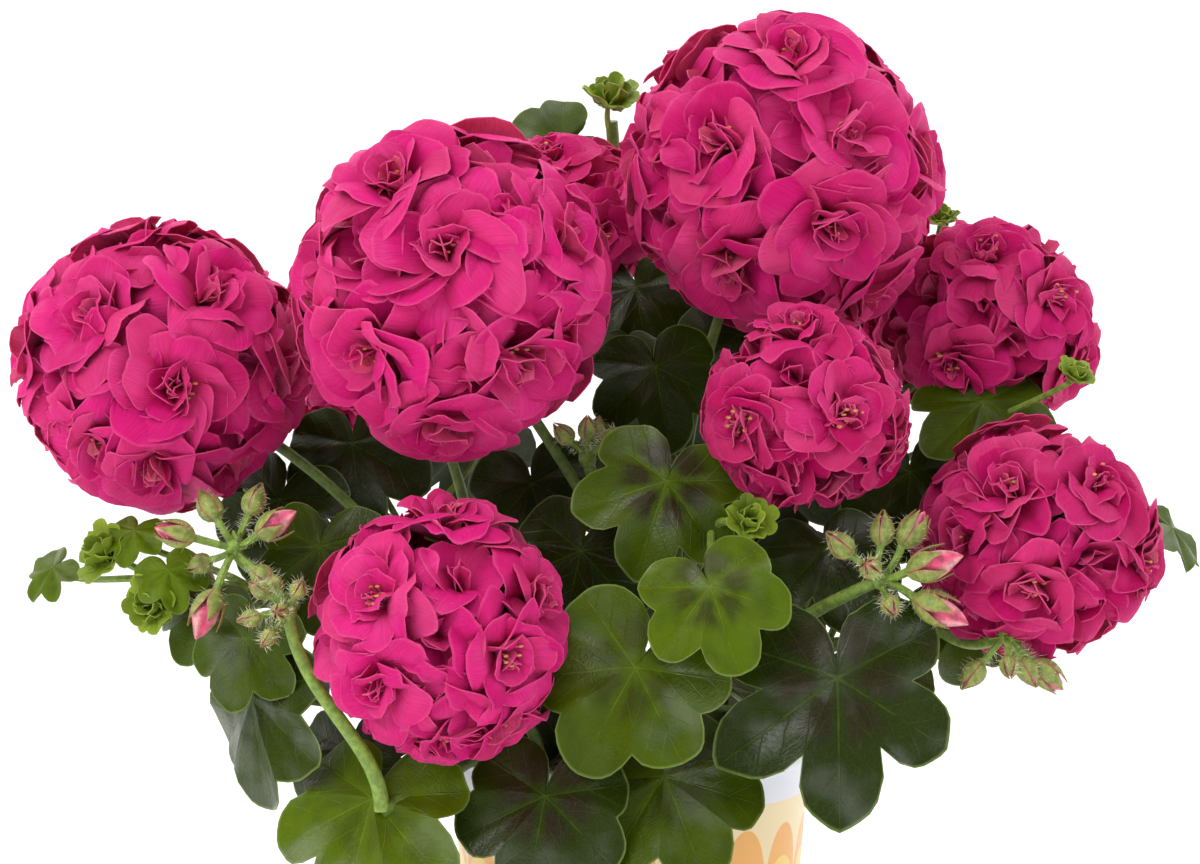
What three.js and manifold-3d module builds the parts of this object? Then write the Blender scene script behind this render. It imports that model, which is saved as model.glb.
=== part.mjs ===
// Potted ivy geranium: a nursery pot filled with soil, leafy shoots that each grow from
// their own hole in the soil, round heads of double flowers, and umbels of buds.
// Millimetres, +Z up. The origin is the centre of the pot's underside; the side of the
// plant that faces the viewer is -Y.

import * as THREE from "three";
import { mergeVertices } from "three/addons/utils/BufferGeometryUtils.js";
import Module from "manifold-3d";

const wasm = await Module();
wasm.setup();

// Driving dimensions
const POT_HEIGHT = 105;
const POT_TOP_RADIUS = 60;
const POT_BASE_RADIUS = 51.5;
const POT_WALL = 1.6;
const RIM_BEAD = 1.4;
const RIM_HEIGHT = 4;
const POT_SIDES = 32;
const DRAIN_HOLES = 5;
const DRAIN_HOLE_RADIUS = 4.5;
const DRAIN_CIRCLE_RADIUS = 33;
const SOIL_TOP = 94;
const FIT_GAP = 0.3;
const STEM_SIDES = 5;
const STEM_STEPS = 7;
const PETIOLE_RADIUS = 1.3;
const PETIOLE_SIDES = 3;
const PETIOLE_STEPS = 3;
const PETIOLE_LENGTH = 46;
const RIM_CLEARANCE = 8;
const STALK_RADIUS = 1.9;
const STALK_SIDES = 4;
const STALK_STEPS = 5;
const BLADE_THICKNESS = 0.8;
const FINE_LEAF_SIZE = 20;
const FLOWER_RADIUS = 22;
const PETAL_THICKNESS = 0.9;
const CORE_SHARE = 0.5;
const HUB_RADIUS = 3.2;
const BUD_LENGTH = 12;
const BUD_RADIUS = 3.6;
const BUD_SIDES = 5;
const OPENING_GROWTH = 0.35;
const PEDICEL_RADIUS = 0.9;
const PEDICEL_SIDES = 3;

const COLOURS = {
  pot: { color: 0xf1dfb4, roughness: 0.45, metalness: 0 },
  soil: { color: 0x3a2a1e, roughness: 1, metalness: 0 },
  shoot: { color: 0x3f6b24, roughness: 0.42, metalness: 0 },
  head: { color: 0xd0246f, roughness: 0.6, metalness: 0 },
  buds: { color: 0x8a9a45, roughness: 0.55, metalness: 0 },
};

// Shoots: name, then the stem's four Bezier points, from the soil to the tip, and its radius
const SHOOTS = [
  ["shoot_left", [[-28, -6, 62], [-40, -10, 165], [-95, -26, 148], [-156, -32, 164]], 3],
  ["shoot_front_left", [[-16, -25, 62], [-30, -47, 140], [-48, -74, 110], [-78, -94, 100]], 3],
  ["shoot_front", [[4, -33, 62], [8, -46, 150], [2, -60, 146], [-12, -70, 160]], 3],
  ["shoot_centre", [[12, -10, 62], [14, -12, 175], [22, -34, 186], [27, -62, 186]], 3],
  ["shoot_front_right", [[28, -22, 62], [38, -36, 150], [55, -52, 146], [82, -60, 148]], 3],
  ["shoot_right", [[34, 4, 62], [48, 6, 160], [90, -14, 128], [146, -2, 140]], 3],
  ["shoot_back_right", [[22, 24, 62], [30, 34, 170], [78, 52, 190], [104, 82, 258]], 3],
  ["shoot_back", [[-2, 32, 62], [-4, 44, 180], [2, 118, 240], [-6, 92, 308]], 3],
  ["shoot_back_left", [[-24, 20, 62], [-32, 28, 165], [-76, 52, 168], [-116, 62, 190]], 3],
];

// Flower heads: name, centre, radius, shoot, where on its stem the stalk starts (0 to 1),
// and the [azimuth, elevation] in degrees of the flowers that face the viewer
const HEADS = [
  ["head_left", [-154, -10, 231], 49, "shoot_left", 0.52,
    [[15, -5], [35, 40], [-25, 30], [-30, -30], [5, -45]]],
  ["head_centre_left", [-57, -45, 259], 54, "shoot_front", 0.7,
    [[0, 22], [30, -25], [-38, -22], [-8, -60], [-35, 50]]],
  ["head_back_centre", [-20, 60, 275], 31, "shoot_back", 0.62,
    [[20, -8], [-40, 60]]],
  ["head_top", [49.5, 0, 293], 54, "shoot_centre", 0.45,
    [[-28, 18], [25, 22], [20, -15], [-30, -35], [5, 62], [75, 5]]],
  ["head_right", [121, 34, 242], 38, "shoot_back_right", 0.5,
    [[-30, -18], [38, 20], [-5, 55], [60, -20]]],
  ["head_centre", [55, -58, 222], 34, "shoot_centre", 0.75,
    [[-42, 0], [22, 2], [-10, 70], [80, -20]]],
  ["head_low_right", [129.5, -40, 177], 41, "shoot_right", 0.62,
    [[-5, -15], [-22, 38], [-50, 8], [65, -5], [38, 38]]],
  ["head_low_left", [-60, -88, 156], 42, "shoot_front_left", 0.4,
    [[-32, 22], [-30, -18], [35, -5], [10, 75], [70, 20], [8, -60], [50, -45]]],
  ["head_back_left", [-86, 80, 232], 38, "shoot_back_left", 0.55, []],
  ["head_back_right", [62, 96, 236], 33, "shoot_back_right", 0.42, []],
];

// Bud umbels: name, hub, where the stalk comes from, shoot, place on its stem, and for each
// bud its offset from the hub, its size and how far it is open (0 closed, 1 opening)
const BUDS = [
  ["buds_left", [-126, -60, 178], [0.2, 0.7, -0.7], "shoot_left", 0.78,
    [[-19, -6, 6, 1, 0.5], [-9, 8, 13, 0.95, 0], [6, 8, 15, 0.9, 0], [14, -6, 9, 1, 1],
      [-8, -16, -19, 1.15, 1], [10, -10, -8, 0.8, 0], [-12, 6, -6, 0.75, 0]]],
  ["buds_low_left", [-107, -92, 163], [0.1, -0.05, -1], "shoot_front_left", 1,
    [[-9, -2, 7, 0.6, 0], [-12, -5, -2, 0.6, 0], [-6, -8, -8, 0.55, 0], [4, -7, 8, 0.6, 0],
      [-2, -11, 1, 0.6, 0], [-5, 7, 8, 0.55, 0]]],
  ["buds_right", [78, -74, 170], [-0.85, 0.25, -0.45], "shoot_front_right", 0.62,
    [[-13, -4, 12, 0.9, 0], [-4, -14, 6, 0.8, 0], [1, 4, 16, 0.9, 0], [11, 4, 16, 1, 0.5],
      [17, -7, 6, 1.2, 1], [19, -6, -9, 1.2, 1], [3, -12, -7, 0.7, 0]]],
  ["buds_low_right", [119, -63, 151], [-0.7, 0.5, -0.5], "shoot_right", 0.7,
    [[-11, -2, -13, 0.85, 0], [7, -3, -12, 0.8, 0], [14, 2, -14, 1, 0.5], [0, -12, -9, 0.7, 0]]],
  ["buds_centre", [-14, -36, 204], [0.2, 0.2, -1], "shoot_centre", 0.6,
    [[-8, -4, 9, 0.7, 0], [0, -6, 11, 0.7, 0], [8, -4, 8, 0.65, 0], [3, 6, 10, 0.6, 0]]],
];

// Leaves placed one by one: shoot, where the leaf stalk meets the blade, the blade's facing
// [azimuth, elevation], the turn of its middle lobe from straight down, the length of that
// lobe and how deeply the blade is cut (0 shallow to 1 deep)
const LEAVES = [
  ["shoot_centre", [11, -64, 200], [8, 25], -20, 32, 0.5],
  ["shoot_centre", [24, -97, 171], [0, 30], 20, 28, 0.3],
  ["shoot_front", [1, -99, 146], [-4, 16], -30, 36, 0.3],
  ["shoot_front_right", [64, -88, 141], [8, 14], 2, 45, 0.8],
  ["shoot_front_left", [-81, -90, 103], [-20, 36], -8, 38, 0.5],
  ["shoot_front", [-27, -96, 105], [-8, 24], -10, 33, 0.2],
  ["shoot_front", [10, -84, 109], [5, 34], 22, 35, 0.2],
  ["shoot_front_left", [-120, -66, 131], [-52, 6], 0, 36, 0.2],
  ["shoot_front_left", [-122, -72, 151], [-26, 20], -12, 23, 0.3],
  ["shoot_back", [-23, 96, 301], [-8, 34], -60, 24, 0.2],
  ["shoot_back_right", [116, 0, 219], [4, 46], 10, 28, 0.3],
  ["shoot_centre", [8, -18, 232], [0, 30], 10, 27, 0.3],
  ["shoot_front_right", [63, -42, 176], [5, 46], 10, 28, 0.2],
  ["shoot_right", [108, -22, 150], [12, 22], -8, 21, 0.4],
  ["shoot_right", [179, 0, 177], [64, 44], 40, 17, 0.3],
  ["shoot_front", [-16, -50, 176], [-14, 20], -12, 30, 0.2],
  ["shoot_left", [-116, 4, 186], [-22, 24], -12, 28, 0.3],
  ["shoot_left", [-92, 8, 204], [-10, 26], 8, 29, 0.2],
  ["shoot_left", [-100, -42, 176], [-18, 22], 0, 27, 0.3],
  ["shoot_front", [-30, -37, 136], [-14, 26], 0, 30, 0.3],
  ["shoot_back_right", [92, -4, 196], [14, 30], -10, 28, 0.4],
  ["shoot_centre", [44, -20, 196], [4, 30], 12, 28, 0.3],
  ["shoot_left", [-137, -46, 158], [-30, 32], -18, 20, 0.4],
  ["shoot_front_left", [-90, -54, 112], [-24, 26], 4, 26, 0.3],
  ["shoot_front_right", [80, -62, 140], [24, 30], 20, 22, 0.4],
  ["shoot_back", [0, 26, 236], [170, 64], 0, 27, 0.3],
  ["shoot_back_right", [36, 14, 240], [0, 24], 6, 26, 0.3],
  ["shoot_left", [-188, -24, 167], [-40, 40], -30, 13, 0.4],
  ["shoot_left", [-160, -38, 181], [-20, 52], 0, 13, 0.4],
  ["shoot_left", [-148, -52, 170], [-6, 36], 20, 14, 0.4],
  ["shoot_centre", [-32, -20, 194], [-6, 26], 14, 27, 0.3],
  ["shoot_back", [2, 34, 254], [-2, 34], 10, 25, 0.3],
];

// Tiers of leaves round the rest of the plant: height, distance from the pot's axis,
// elevation of the blades, lobe length, first and last azimuth, and count
const LEAF_TIERS = [
  [114, 75, 30, 31, 96, 296, 6],
  [156, 92, 28, 33, 92, 292, 6],
  [198, 76, 40, 32, 150, 240, 2],
];
const TIER_JITTER = 4;
const TIER_STAGGER = 8;

// Young leaves at the growing tips: shoot, where on its stem the twig starts, tip,
// direction it grows in, and leaf length
const TIPS = [
  ["shoot_left", 1, [-168, -34, 172], [-0.6, -0.6, 0.5], 14],
  ["shoot_left", 0.9, [-152, -48, 158], [-0.4, -0.8, 0.2], 12],
  ["shoot_back", 0.95, [-7, 88, 314], [0.2, -0.5, 0.9], 14],
  ["shoot_centre", 1, [36, -76, 188], [0.3, -0.8, 0.5], 11],
  ["shoot_back_right", 1, [108, 84, 273], [0, -0.4, 1], 10],
  ["shoot_back_right", 0.55, [145, -14, 228], [0.3, -0.5, 0.8], 9],
];
const TIP_LOBES = 5;
const TIP_SPREAD = 55;

// Small helpers

const vec = (p) => new THREE.Vector3(...p);
const radians = THREE.MathUtils.degToRad;

/** A repeatable draw from 0 to 1 for a number. */
function draw(n) {
  const value = Math.sin(n * 12.9898 + 4.1414) * 43758.5453;
  return value - Math.floor(value);
}

/** The direction for an azimuth (0 faces -Y, positive towards +X) and an elevation. */
function facing(azimuth, elevation) {
  const a = radians(azimuth);
  const e = radians(elevation);
  return new THREE.Vector3(Math.sin(a) * Math.cos(e), -Math.cos(a) * Math.cos(e), Math.sin(e));
}

/** Two directions square to an axis, which make a right-handed set with it. */
function crossAxes(axis) {
  const helper = Math.abs(axis.z) < 0.9 ? new THREE.Vector3(0, 0, 1) : new THREE.Vector3(1, 0, 0);
  const first = new THREE.Vector3().crossVectors(helper, axis).normalize();
  const second = new THREE.Vector3().crossVectors(axis, first);
  return [first, second];
}

// Solids

/** A manifold solid of a closed indexed position list. */
function solidFromArrays(positions, indices) {
  return new wasm.Manifold(new wasm.Mesh({
    numProp: 3,
    vertProperties: new Float32Array(positions),
    triVerts: new Uint32Array(indices),
  }));
}

function solidFromGeometry(geometry) {
  geometry.deleteAttribute("normal");
  geometry.deleteAttribute("uv");
  const merged = mergeVertices(geometry, 1e-4);
  return solidFromArrays(merged.attributes.position.array, merged.index.array);
}

/** Joins two rings of vertices, given as [index, angle] in rising angle, with triangles. */
function stitch(triangles, lower, upper) {
  const turn = (ring, i) => ring[i % ring.length][1] + (i >= ring.length ? 2 * Math.PI : 0);
  let i = 0;
  let j = 0;
  while (i < lower.length || j < upper.length) {
    const a = lower[i % lower.length][0];
    const b = upper[j % upper.length][0];
    const nextLower = i < lower.length ? turn(lower, i + 1) : Infinity;
    const nextUpper = j < upper.length ? turn(upper, j + 1) : Infinity;
    if (nextLower <= nextUpper) {
      triangles.push(a, lower[(i + 1) % lower.length][0], b);
      i += 1;
    } else {
      triangles.push(a, upper[(j + 1) % upper.length][0], b);
      j += 1;
    }
  }
}

/**
 * A closed body of rings of points, from its first point to its last one. A ring's points
 * go once round, evenly or at the angles that the ring lists.
 */
function ringBody(first, rings, last) {
  const positions = [...first.toArray()];
  const triangles = [];
  const numbered = rings.map((ring) => ring.map((point, k) => {
    positions.push(...point.toArray());
    return [positions.length / 3 - 1, ring.angles ? ring.angles[k] : (2 * Math.PI * k) / ring.length];
  }));
  positions.push(...last.toArray());
  const end = positions.length / 3 - 1;
  const start = numbered[0];
  const finish = numbered[numbered.length - 1];
  start.forEach(([index], k) => triangles.push(0, start[(k + 1) % start.length][0], index));
  numbered.slice(1).forEach((ring, k) => stitch(triangles, numbered[k], ring));
  finish.forEach(([index], k) => triangles.push(index, finish[(k + 1) % finish.length][0], end));
  return solidFromArrays(positions, triangles);
}

/** A round stem along a curve, closed at both ends. */
function tube(curve, radius, sides, steps) {
  const section = new THREE.Shape();
  for (let k = 0; k < sides; k += 1) {
    const angle = (2 * Math.PI * k) / sides;
    section[k ? "lineTo" : "moveTo"](radius * Math.cos(angle), radius * Math.sin(angle));
  }
  section.closePath();
  return solidFromGeometry(new THREE.ExtrudeGeometry(section, { steps, extrudePath: curve }));
}

/**
 * Rings of points round a curve. The last ring's first point lies towards endSide, and the
 * rings before it keep its turn.
 */
function ringsAlong(curve, radius, sides, steps, endSide) {
  const rings = [];
  const first = endSide.clone();
  for (let step = steps; step >= 0; step -= 1) {
    const centre = curve.getPoint(step / steps);
    const tangent = curve.getTangent(step / steps);
    first.addScaledVector(tangent, -first.dot(tangent)).normalize();
    const second = new THREE.Vector3().crossVectors(tangent, first);
    rings.unshift(roundRing(centre, first, second, radius, sides));
  }
  return rings;
}

function roundRing(centre, first, second, radius, sides) {
  return Array.from({ length: sides }, (_, k) => {
    const turn = (2 * Math.PI * k) / sides;
    return centre.clone()
      .addScaledVector(first, radius * Math.cos(turn)).addScaledVector(second, radius * Math.sin(turn));
  });
}

function join(solids) {
  return solids.reduce((whole, solid) => whole.add(solid));
}

/** A solid cut clear of other solids: its largest body, without any scrap cut loose. */
function clearOf(solid, others) {
  const bodies = others.reduce((rest, other) => rest.subtract(other), solid).decompose();
  return bodies.reduce((best, body) => (body.volume() > best.volume() ? body : best));
}

// Leaves

const LOBE_ANGLE = 57;
const LOBE_LENGTHS = [1, 0.93, 0.8];
const SHOULDER_ANGLE = 17;
const EAR = [160, 0.5, 0.4];
const SINUS = [180, 0.1, 0];
const PLEAT = 0.08;
const DROOP = 0.2;
const RIM_VARIATION = 0.08;
const PETIOLE_BEND = 0.3;
const PETIOLE_LIFT = 0.15;

/**
 * A blade's outline in polar form: [angle in degrees, share of the lobe's length, pleat]. A
 * fine one has broad shoulders on its lobes.
 */
function leafOutline(cut, fine) {
  const half = [];
  LOBE_LENGTHS.forEach((length, k) => {
    const centre = k * LOBE_ANGLE;
    const shoulder = length * (0.97 - 0.1 * cut);
    if (fine && k === 1) half.push([centre - SHOULDER_ANGLE, shoulder, -0.4]);
    half.push([centre, length, -1]);
    if (fine) half.push([centre + SHOULDER_ANGLE, shoulder, -0.4]);
    if (k < 2) half.push([centre + LOBE_ANGLE / 2, length * (0.82 - 0.3 * cut), 1]);
  });
  half.push(EAR);
  const other = half.slice(1).reverse().map(([angle, length, pleat]) => [360 - angle, length, pleat]);
  return [...half, SINUS, ...other];
}

/**
 * A lobed blade on its stalk, as one body. The middle lobe points along "down" turned by
 * spin, the rim droops, and the stalk meets the blade from behind.
 */
function stalkedBlade(start, [x, y, z], [azimuth, elevation], spin, size, outline, seed, grow) {
  const normal = facing(azimuth, elevation);
  const down = facing(azimuth, elevation - 90);
  const right = new THREE.Vector3().crossVectors(normal, down);
  const turn = radians(spin);
  const middle = down.clone().multiplyScalar(Math.cos(turn)).addScaledVector(right, Math.sin(turn));
  const side = right.clone().multiplyScalar(Math.cos(turn)).addScaledVector(down, -Math.sin(turn));
  const centre = new THREE.Vector3(x, y, z);
  const rim = outline.map(([angle, share, pleat], k) => {
    const length = size * share * (1 + RIM_VARIATION * (draw(seed + k) - 0.5)) + grow;
    const height = size * (PLEAT * pleat * share - DROOP * share * share);
    return centre.clone()
      .addScaledVector(middle, length * Math.cos(radians(angle)))
      .addScaledVector(side, length * Math.sin(radians(angle)))
      .addScaledVector(normal, height);
  });
  const half = BLADE_THICKNESS / 2 + grow;
  const back = centre.clone().addScaledVector(normal, -half);
  const distance = start.distanceTo(back);
  const stalk = new THREE.CubicBezierCurve3(
    start, start.clone().lerp(back, 0.25).add(new THREE.Vector3(0, 0, distance * PETIOLE_LIFT)),
    back.clone().addScaledVector(normal, -distance * PETIOLE_BEND), back,
  );
  const rings = ringsAlong(stalk, PETIOLE_RADIUS + grow, PETIOLE_SIDES, PETIOLE_STEPS, middle);
  const lower = rim.map((point) => point.clone().addScaledVector(normal, -half));
  const upper = rim.map((point) => point.clone().addScaledVector(normal, half));
  lower.angles = outline.map(([angle]) => radians(angle));
  upper.angles = lower.angles;
  return ringBody(start, [...rings, lower, upper], centre.clone().addScaledVector(normal, half));
}

// Shoots

const STEMS = new Map(SHOOTS.map(([name, points]) => [
  name, new THREE.CubicBezierCurve3(...points.map(vec)),
]));

/** A point on the axis of a shoot's faceted stem, from 0 at the foot to 1 at the tip. */
function stemPoint(shoot, along) {
  const joints = STEMS.get(shoot).getSpacedPoints(STEM_STEPS);
  const step = Math.min(STEM_STEPS - 1, Math.floor(along * STEM_STEPS));
  return joints[step].clone().lerp(joints[step + 1], along * STEM_STEPS - step);
}

/** A shoot's stem, made thicker and a little longer at the foot by grow. */
function stemSolid(shoot, radius, grow) {
  const joints = STEMS.get(shoot).getSpacedPoints(STEM_STEPS);
  const tangents = joints.map((_, k) => (
    joints[Math.min(k + 1, STEM_STEPS)].clone().sub(joints[Math.max(k - 1, 0)]).normalize()
  ));
  const foot = joints[0].addScaledVector(tangents[0], -grow);
  const round = radius + grow / Math.cos(Math.PI / STEM_SIDES);
  const first = new THREE.Vector3(1, 0, 0);
  const rings = joints.map((joint, k) => {
    first.addScaledVector(tangents[k], -first.dot(tangents[k])).normalize();
    const second = new THREE.Vector3().crossVectors(tangents[k], first);
    return roundRing(joint, first, second, round, STEM_SIDES);
  });
  return ringBody(foot, rings, joints[STEM_STEPS]);
}

/**
 * The point on a shoot's stem that suits a leaf best: behind the blade, and a leaf stalk's
 * usual length from it. The miss says how far it is from that.
 */
function petioleStart(shoot, place, face) {
  const target = vec(place);
  const normal = facing(...face);
  const starts = Array.from({ length: 17 }, (_, k) => stemPoint(shoot, 0.2 + 0.05 * k));
  return starts.map((point) => {
    const behind = target.clone().sub(point).dot(normal);
    const short = Math.max(0, PETIOLE_LENGTH * 0.45 - behind);
    const low = Math.max(0, POT_HEIGHT + RIM_CLEARANCE - point.z);
    return { point, miss: Math.abs(point.distanceTo(target) - PETIOLE_LENGTH) + 2 * (short + low) };
  }).reduce((best, start) => (start.miss < best.miss ? start : best));
}

/** A leaf of one row, made thicker by grow. */
function leaf([shoot, place, face, spin, size, cut, seed, fine], grow) {
  const start = petioleStart(shoot, place, face).point;
  return stalkedBlade(start, place, face, spin, size, leafOutline(cut, fine), seed, grow);
}

/** Every leaf's row: the ones placed by hand, then the tiers round the rest of the plant. */
function leafRows() {
  const rows = LEAVES.map((row, k) => [...row, k * 31 + 7, row[4] >= FINE_LEAF_SIZE]);
  LEAF_TIERS.forEach(([height, radius, elevation, size, first, last, count], tier) => {
    for (let k = 0; k < count; k += 1) {
      const seed = 1000 + tier * 100 + k * 7;
      const azimuth = first + ((last - first) * (k + 0.5)) / count;
      const out = facing(azimuth, 0);
      const stagger = k % 2 ? TIER_STAGGER : -TIER_STAGGER;
      const reach = radius + stagger + TIER_JITTER * (2 * draw(seed) - 1);
      const place = [out.x * reach, out.y * reach, height + TIER_JITTER * (2 * draw(seed + 1) - 1)];
      const face = [azimuth + 16 * (draw(seed + 2) - 0.5), elevation + 14 * (draw(seed + 3) - 0.5)];
      rows.push([nearestShoot(place, face), place, face, 40 * (draw(seed + 4) - 0.5),
        size * (0.9 + 0.2 * draw(seed + 5)), 0.2 + 0.5 * draw(seed + 6), seed, false]);
    }
  });
  return rows;
}

/** The shoot whose stem suits a leaf best. */
function nearestShoot(place, face) {
  const miss = (name) => petioleStart(name, place, face).miss;
  return SHOOTS.map(([name]) => name).reduce((best, name) => (miss(name) < miss(best) ? name : best));
}

/** The stalk of a flower head or bud umbel, from its stem to its hub. */
function stalkCurve(shoot, along, hub, from) {
  const start = stemPoint(shoot, along);
  const reach = start.distanceTo(hub) * 0.4;
  return new THREE.CubicBezierCurve3(
    start, start.clone().add(new THREE.Vector3(0, 0, reach * 0.8)),
    hub.clone().addScaledVector(from, reach), hub.clone(),
  );
}

/** The direction in which a head's stalk leaves it: inwards and down. */
function headStalkDirection(centre) {
  return new THREE.Vector3(-centre.x, -centre.y, -100).normalize();
}

const STALKS = [
  ...HEADS.map(([name, centre, radius, shoot, along]) => {
    const direction = headStalkDirection(vec(centre));
    const end = vec(centre).addScaledVector(direction, radius * 0.3);
    return { holds: name, shoot, curve: stalkCurve(shoot, along, end, direction) };
  }),
  ...BUDS.map(([name, hub, from, shoot, along]) => (
    { holds: name, shoot, curve: stalkCurve(shoot, along, vec(hub), vec(from).normalize()) }
  )),
];

function stalkOf(name, grow) {
  const { curve } = STALKS.find(({ holds }) => holds === name);
  return tube(curve, STALK_RADIUS + grow, STALK_SIDES, STALK_STEPS);
}

/** The young leaves of a growing tip on their twig: one cup of pointed lobes, tall and short. */
function tipLeaves([shoot, from, place, direction, size], grow) {
  const base = vec(place);
  const along = vec(direction).normalize();
  const [first, second] = crossAxes(along);
  const half = BLADE_THICKNESS / 2 + grow;
  const start = stemPoint(shoot, from);
  const foot = base.clone().addScaledVector(along, -half);
  const twig = new THREE.CubicBezierCurve3(
    start, start.clone().lerp(base, 0.35).add(new THREE.Vector3(0, 0, 3)),
    base.clone().addScaledVector(along, -size * 0.6), foot,
  );
  const rim = Array.from({ length: TIP_LOBES * 2 }, (_, k) => {
    const turn = (Math.PI * k) / TIP_LOBES;
    const length = k % 2 ? size * 0.45 : size * (k % 4 ? 0.7 : 1) + grow;
    const spread = radians(k % 4 ? TIP_SPREAD * 0.7 : TIP_SPREAD);
    return base.clone()
      .addScaledVector(along, length * Math.cos(spread))
      .addScaledVector(first, length * Math.sin(spread) * Math.cos(turn))
      .addScaledVector(second, length * Math.sin(spread) * Math.sin(turn));
  });
  const rings = ringsAlong(twig, PETIOLE_RADIUS + grow, PETIOLE_SIDES, PETIOLE_STEPS, first);
  const lower = rim.map((point) => point.clone().addScaledVector(along, -half));
  const upper = rim.map((point) => point.clone().addScaledVector(along, half));
  return ringBody(start, [...rings, lower, upper], base.clone().addScaledVector(along, half));
}

/** Everything that grows on one shoot, made thicker by grow. */
function shootSolid(name, radius, grow) {
  const pieces = [stemSolid(name, radius, grow)];
  ALL_LEAVES.filter(([shoot]) => shoot === name).forEach((row) => pieces.push(leaf(row, grow)));
  TIPS.filter(([shoot]) => shoot === name).forEach((row) => pieces.push(tipLeaves(row, grow)));
  STALKS.filter(({ shoot }) => shoot === name).forEach(({ holds }) => pieces.push(stalkOf(holds, grow)));
  return join(pieces);
}

const ALL_LEAVES = leafRows();

// Flower heads

const OUTER_LOBES = 5;
const INNER_LOBES = 3;
const AXIS_TRIES = 90;
const GOLDEN_ANGLE = 2.39996;
const STALK_CLEARANCE = 34;
const CELL_MARGIN = 0.35;

// A flower's rings: share of the flower's radius, share of the head's radius
const NECK = [0.3, 0.53];
const OUTER_TIP = [1.1, 0.9];
const OUTER_NOTCH = [0.96, 0.86];
const CREASE = [0.34, 0.62];
const INNER_TIP = [0.56, 1];
const INNER_NOTCH = [0.46, 0.93];
const EYE_HEIGHT = 0.66;

/** The directions of a head's flowers: the ones given, then more spread evenly over the ball. */
function flowerAxes(centre, radius, given) {
  const spacing = 2 * Math.asin(Math.min(1, (0.98 * FLOWER_RADIUS) / radius));
  const stalk = headStalkDirection(centre);
  const axes = given.map((angles) => facing(...angles));
  for (let k = 0; k < AXIS_TRIES; k += 1) {
    const z = 1 - (2 * k + 1) / AXIS_TRIES;
    const turn = k * GOLDEN_ANGLE;
    const ring = Math.sqrt(1 - z * z);
    const axis = new THREE.Vector3(ring * Math.cos(turn), ring * Math.sin(turn), z);
    const clear = axes.every((other) => axis.angleTo(other) > spacing);
    if (clear && axis.angleTo(stalk) > radians(STALK_CLEARANCE)) axes.push(axis);
  }
  return axes;
}

/** The triangles of the convex hull of directions, each as three indices. */
function hullTriangles(axes) {
  const found = [];
  for (let a = 0; a < axes.length; a += 1) {
    for (let b = a + 1; b < axes.length; b += 1) {
      for (let c = b + 1; c < axes.length; c += 1) {
        const normal = axes[b].clone().sub(axes[a]).cross(axes[c].clone().sub(axes[a])).normalize();
        const sides = axes.map((axis) => axis.clone().sub(axes[a]).dot(normal));
        const above = sides.some((side) => side > 1e-6);
        const below = sides.some((side) => side < -1e-6);
        if (above && below) continue;
        found.push({ corners: [a, b, c], centre: above ? normal.negate() : normal });
      }
    }
  }
  return found;
}

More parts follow.
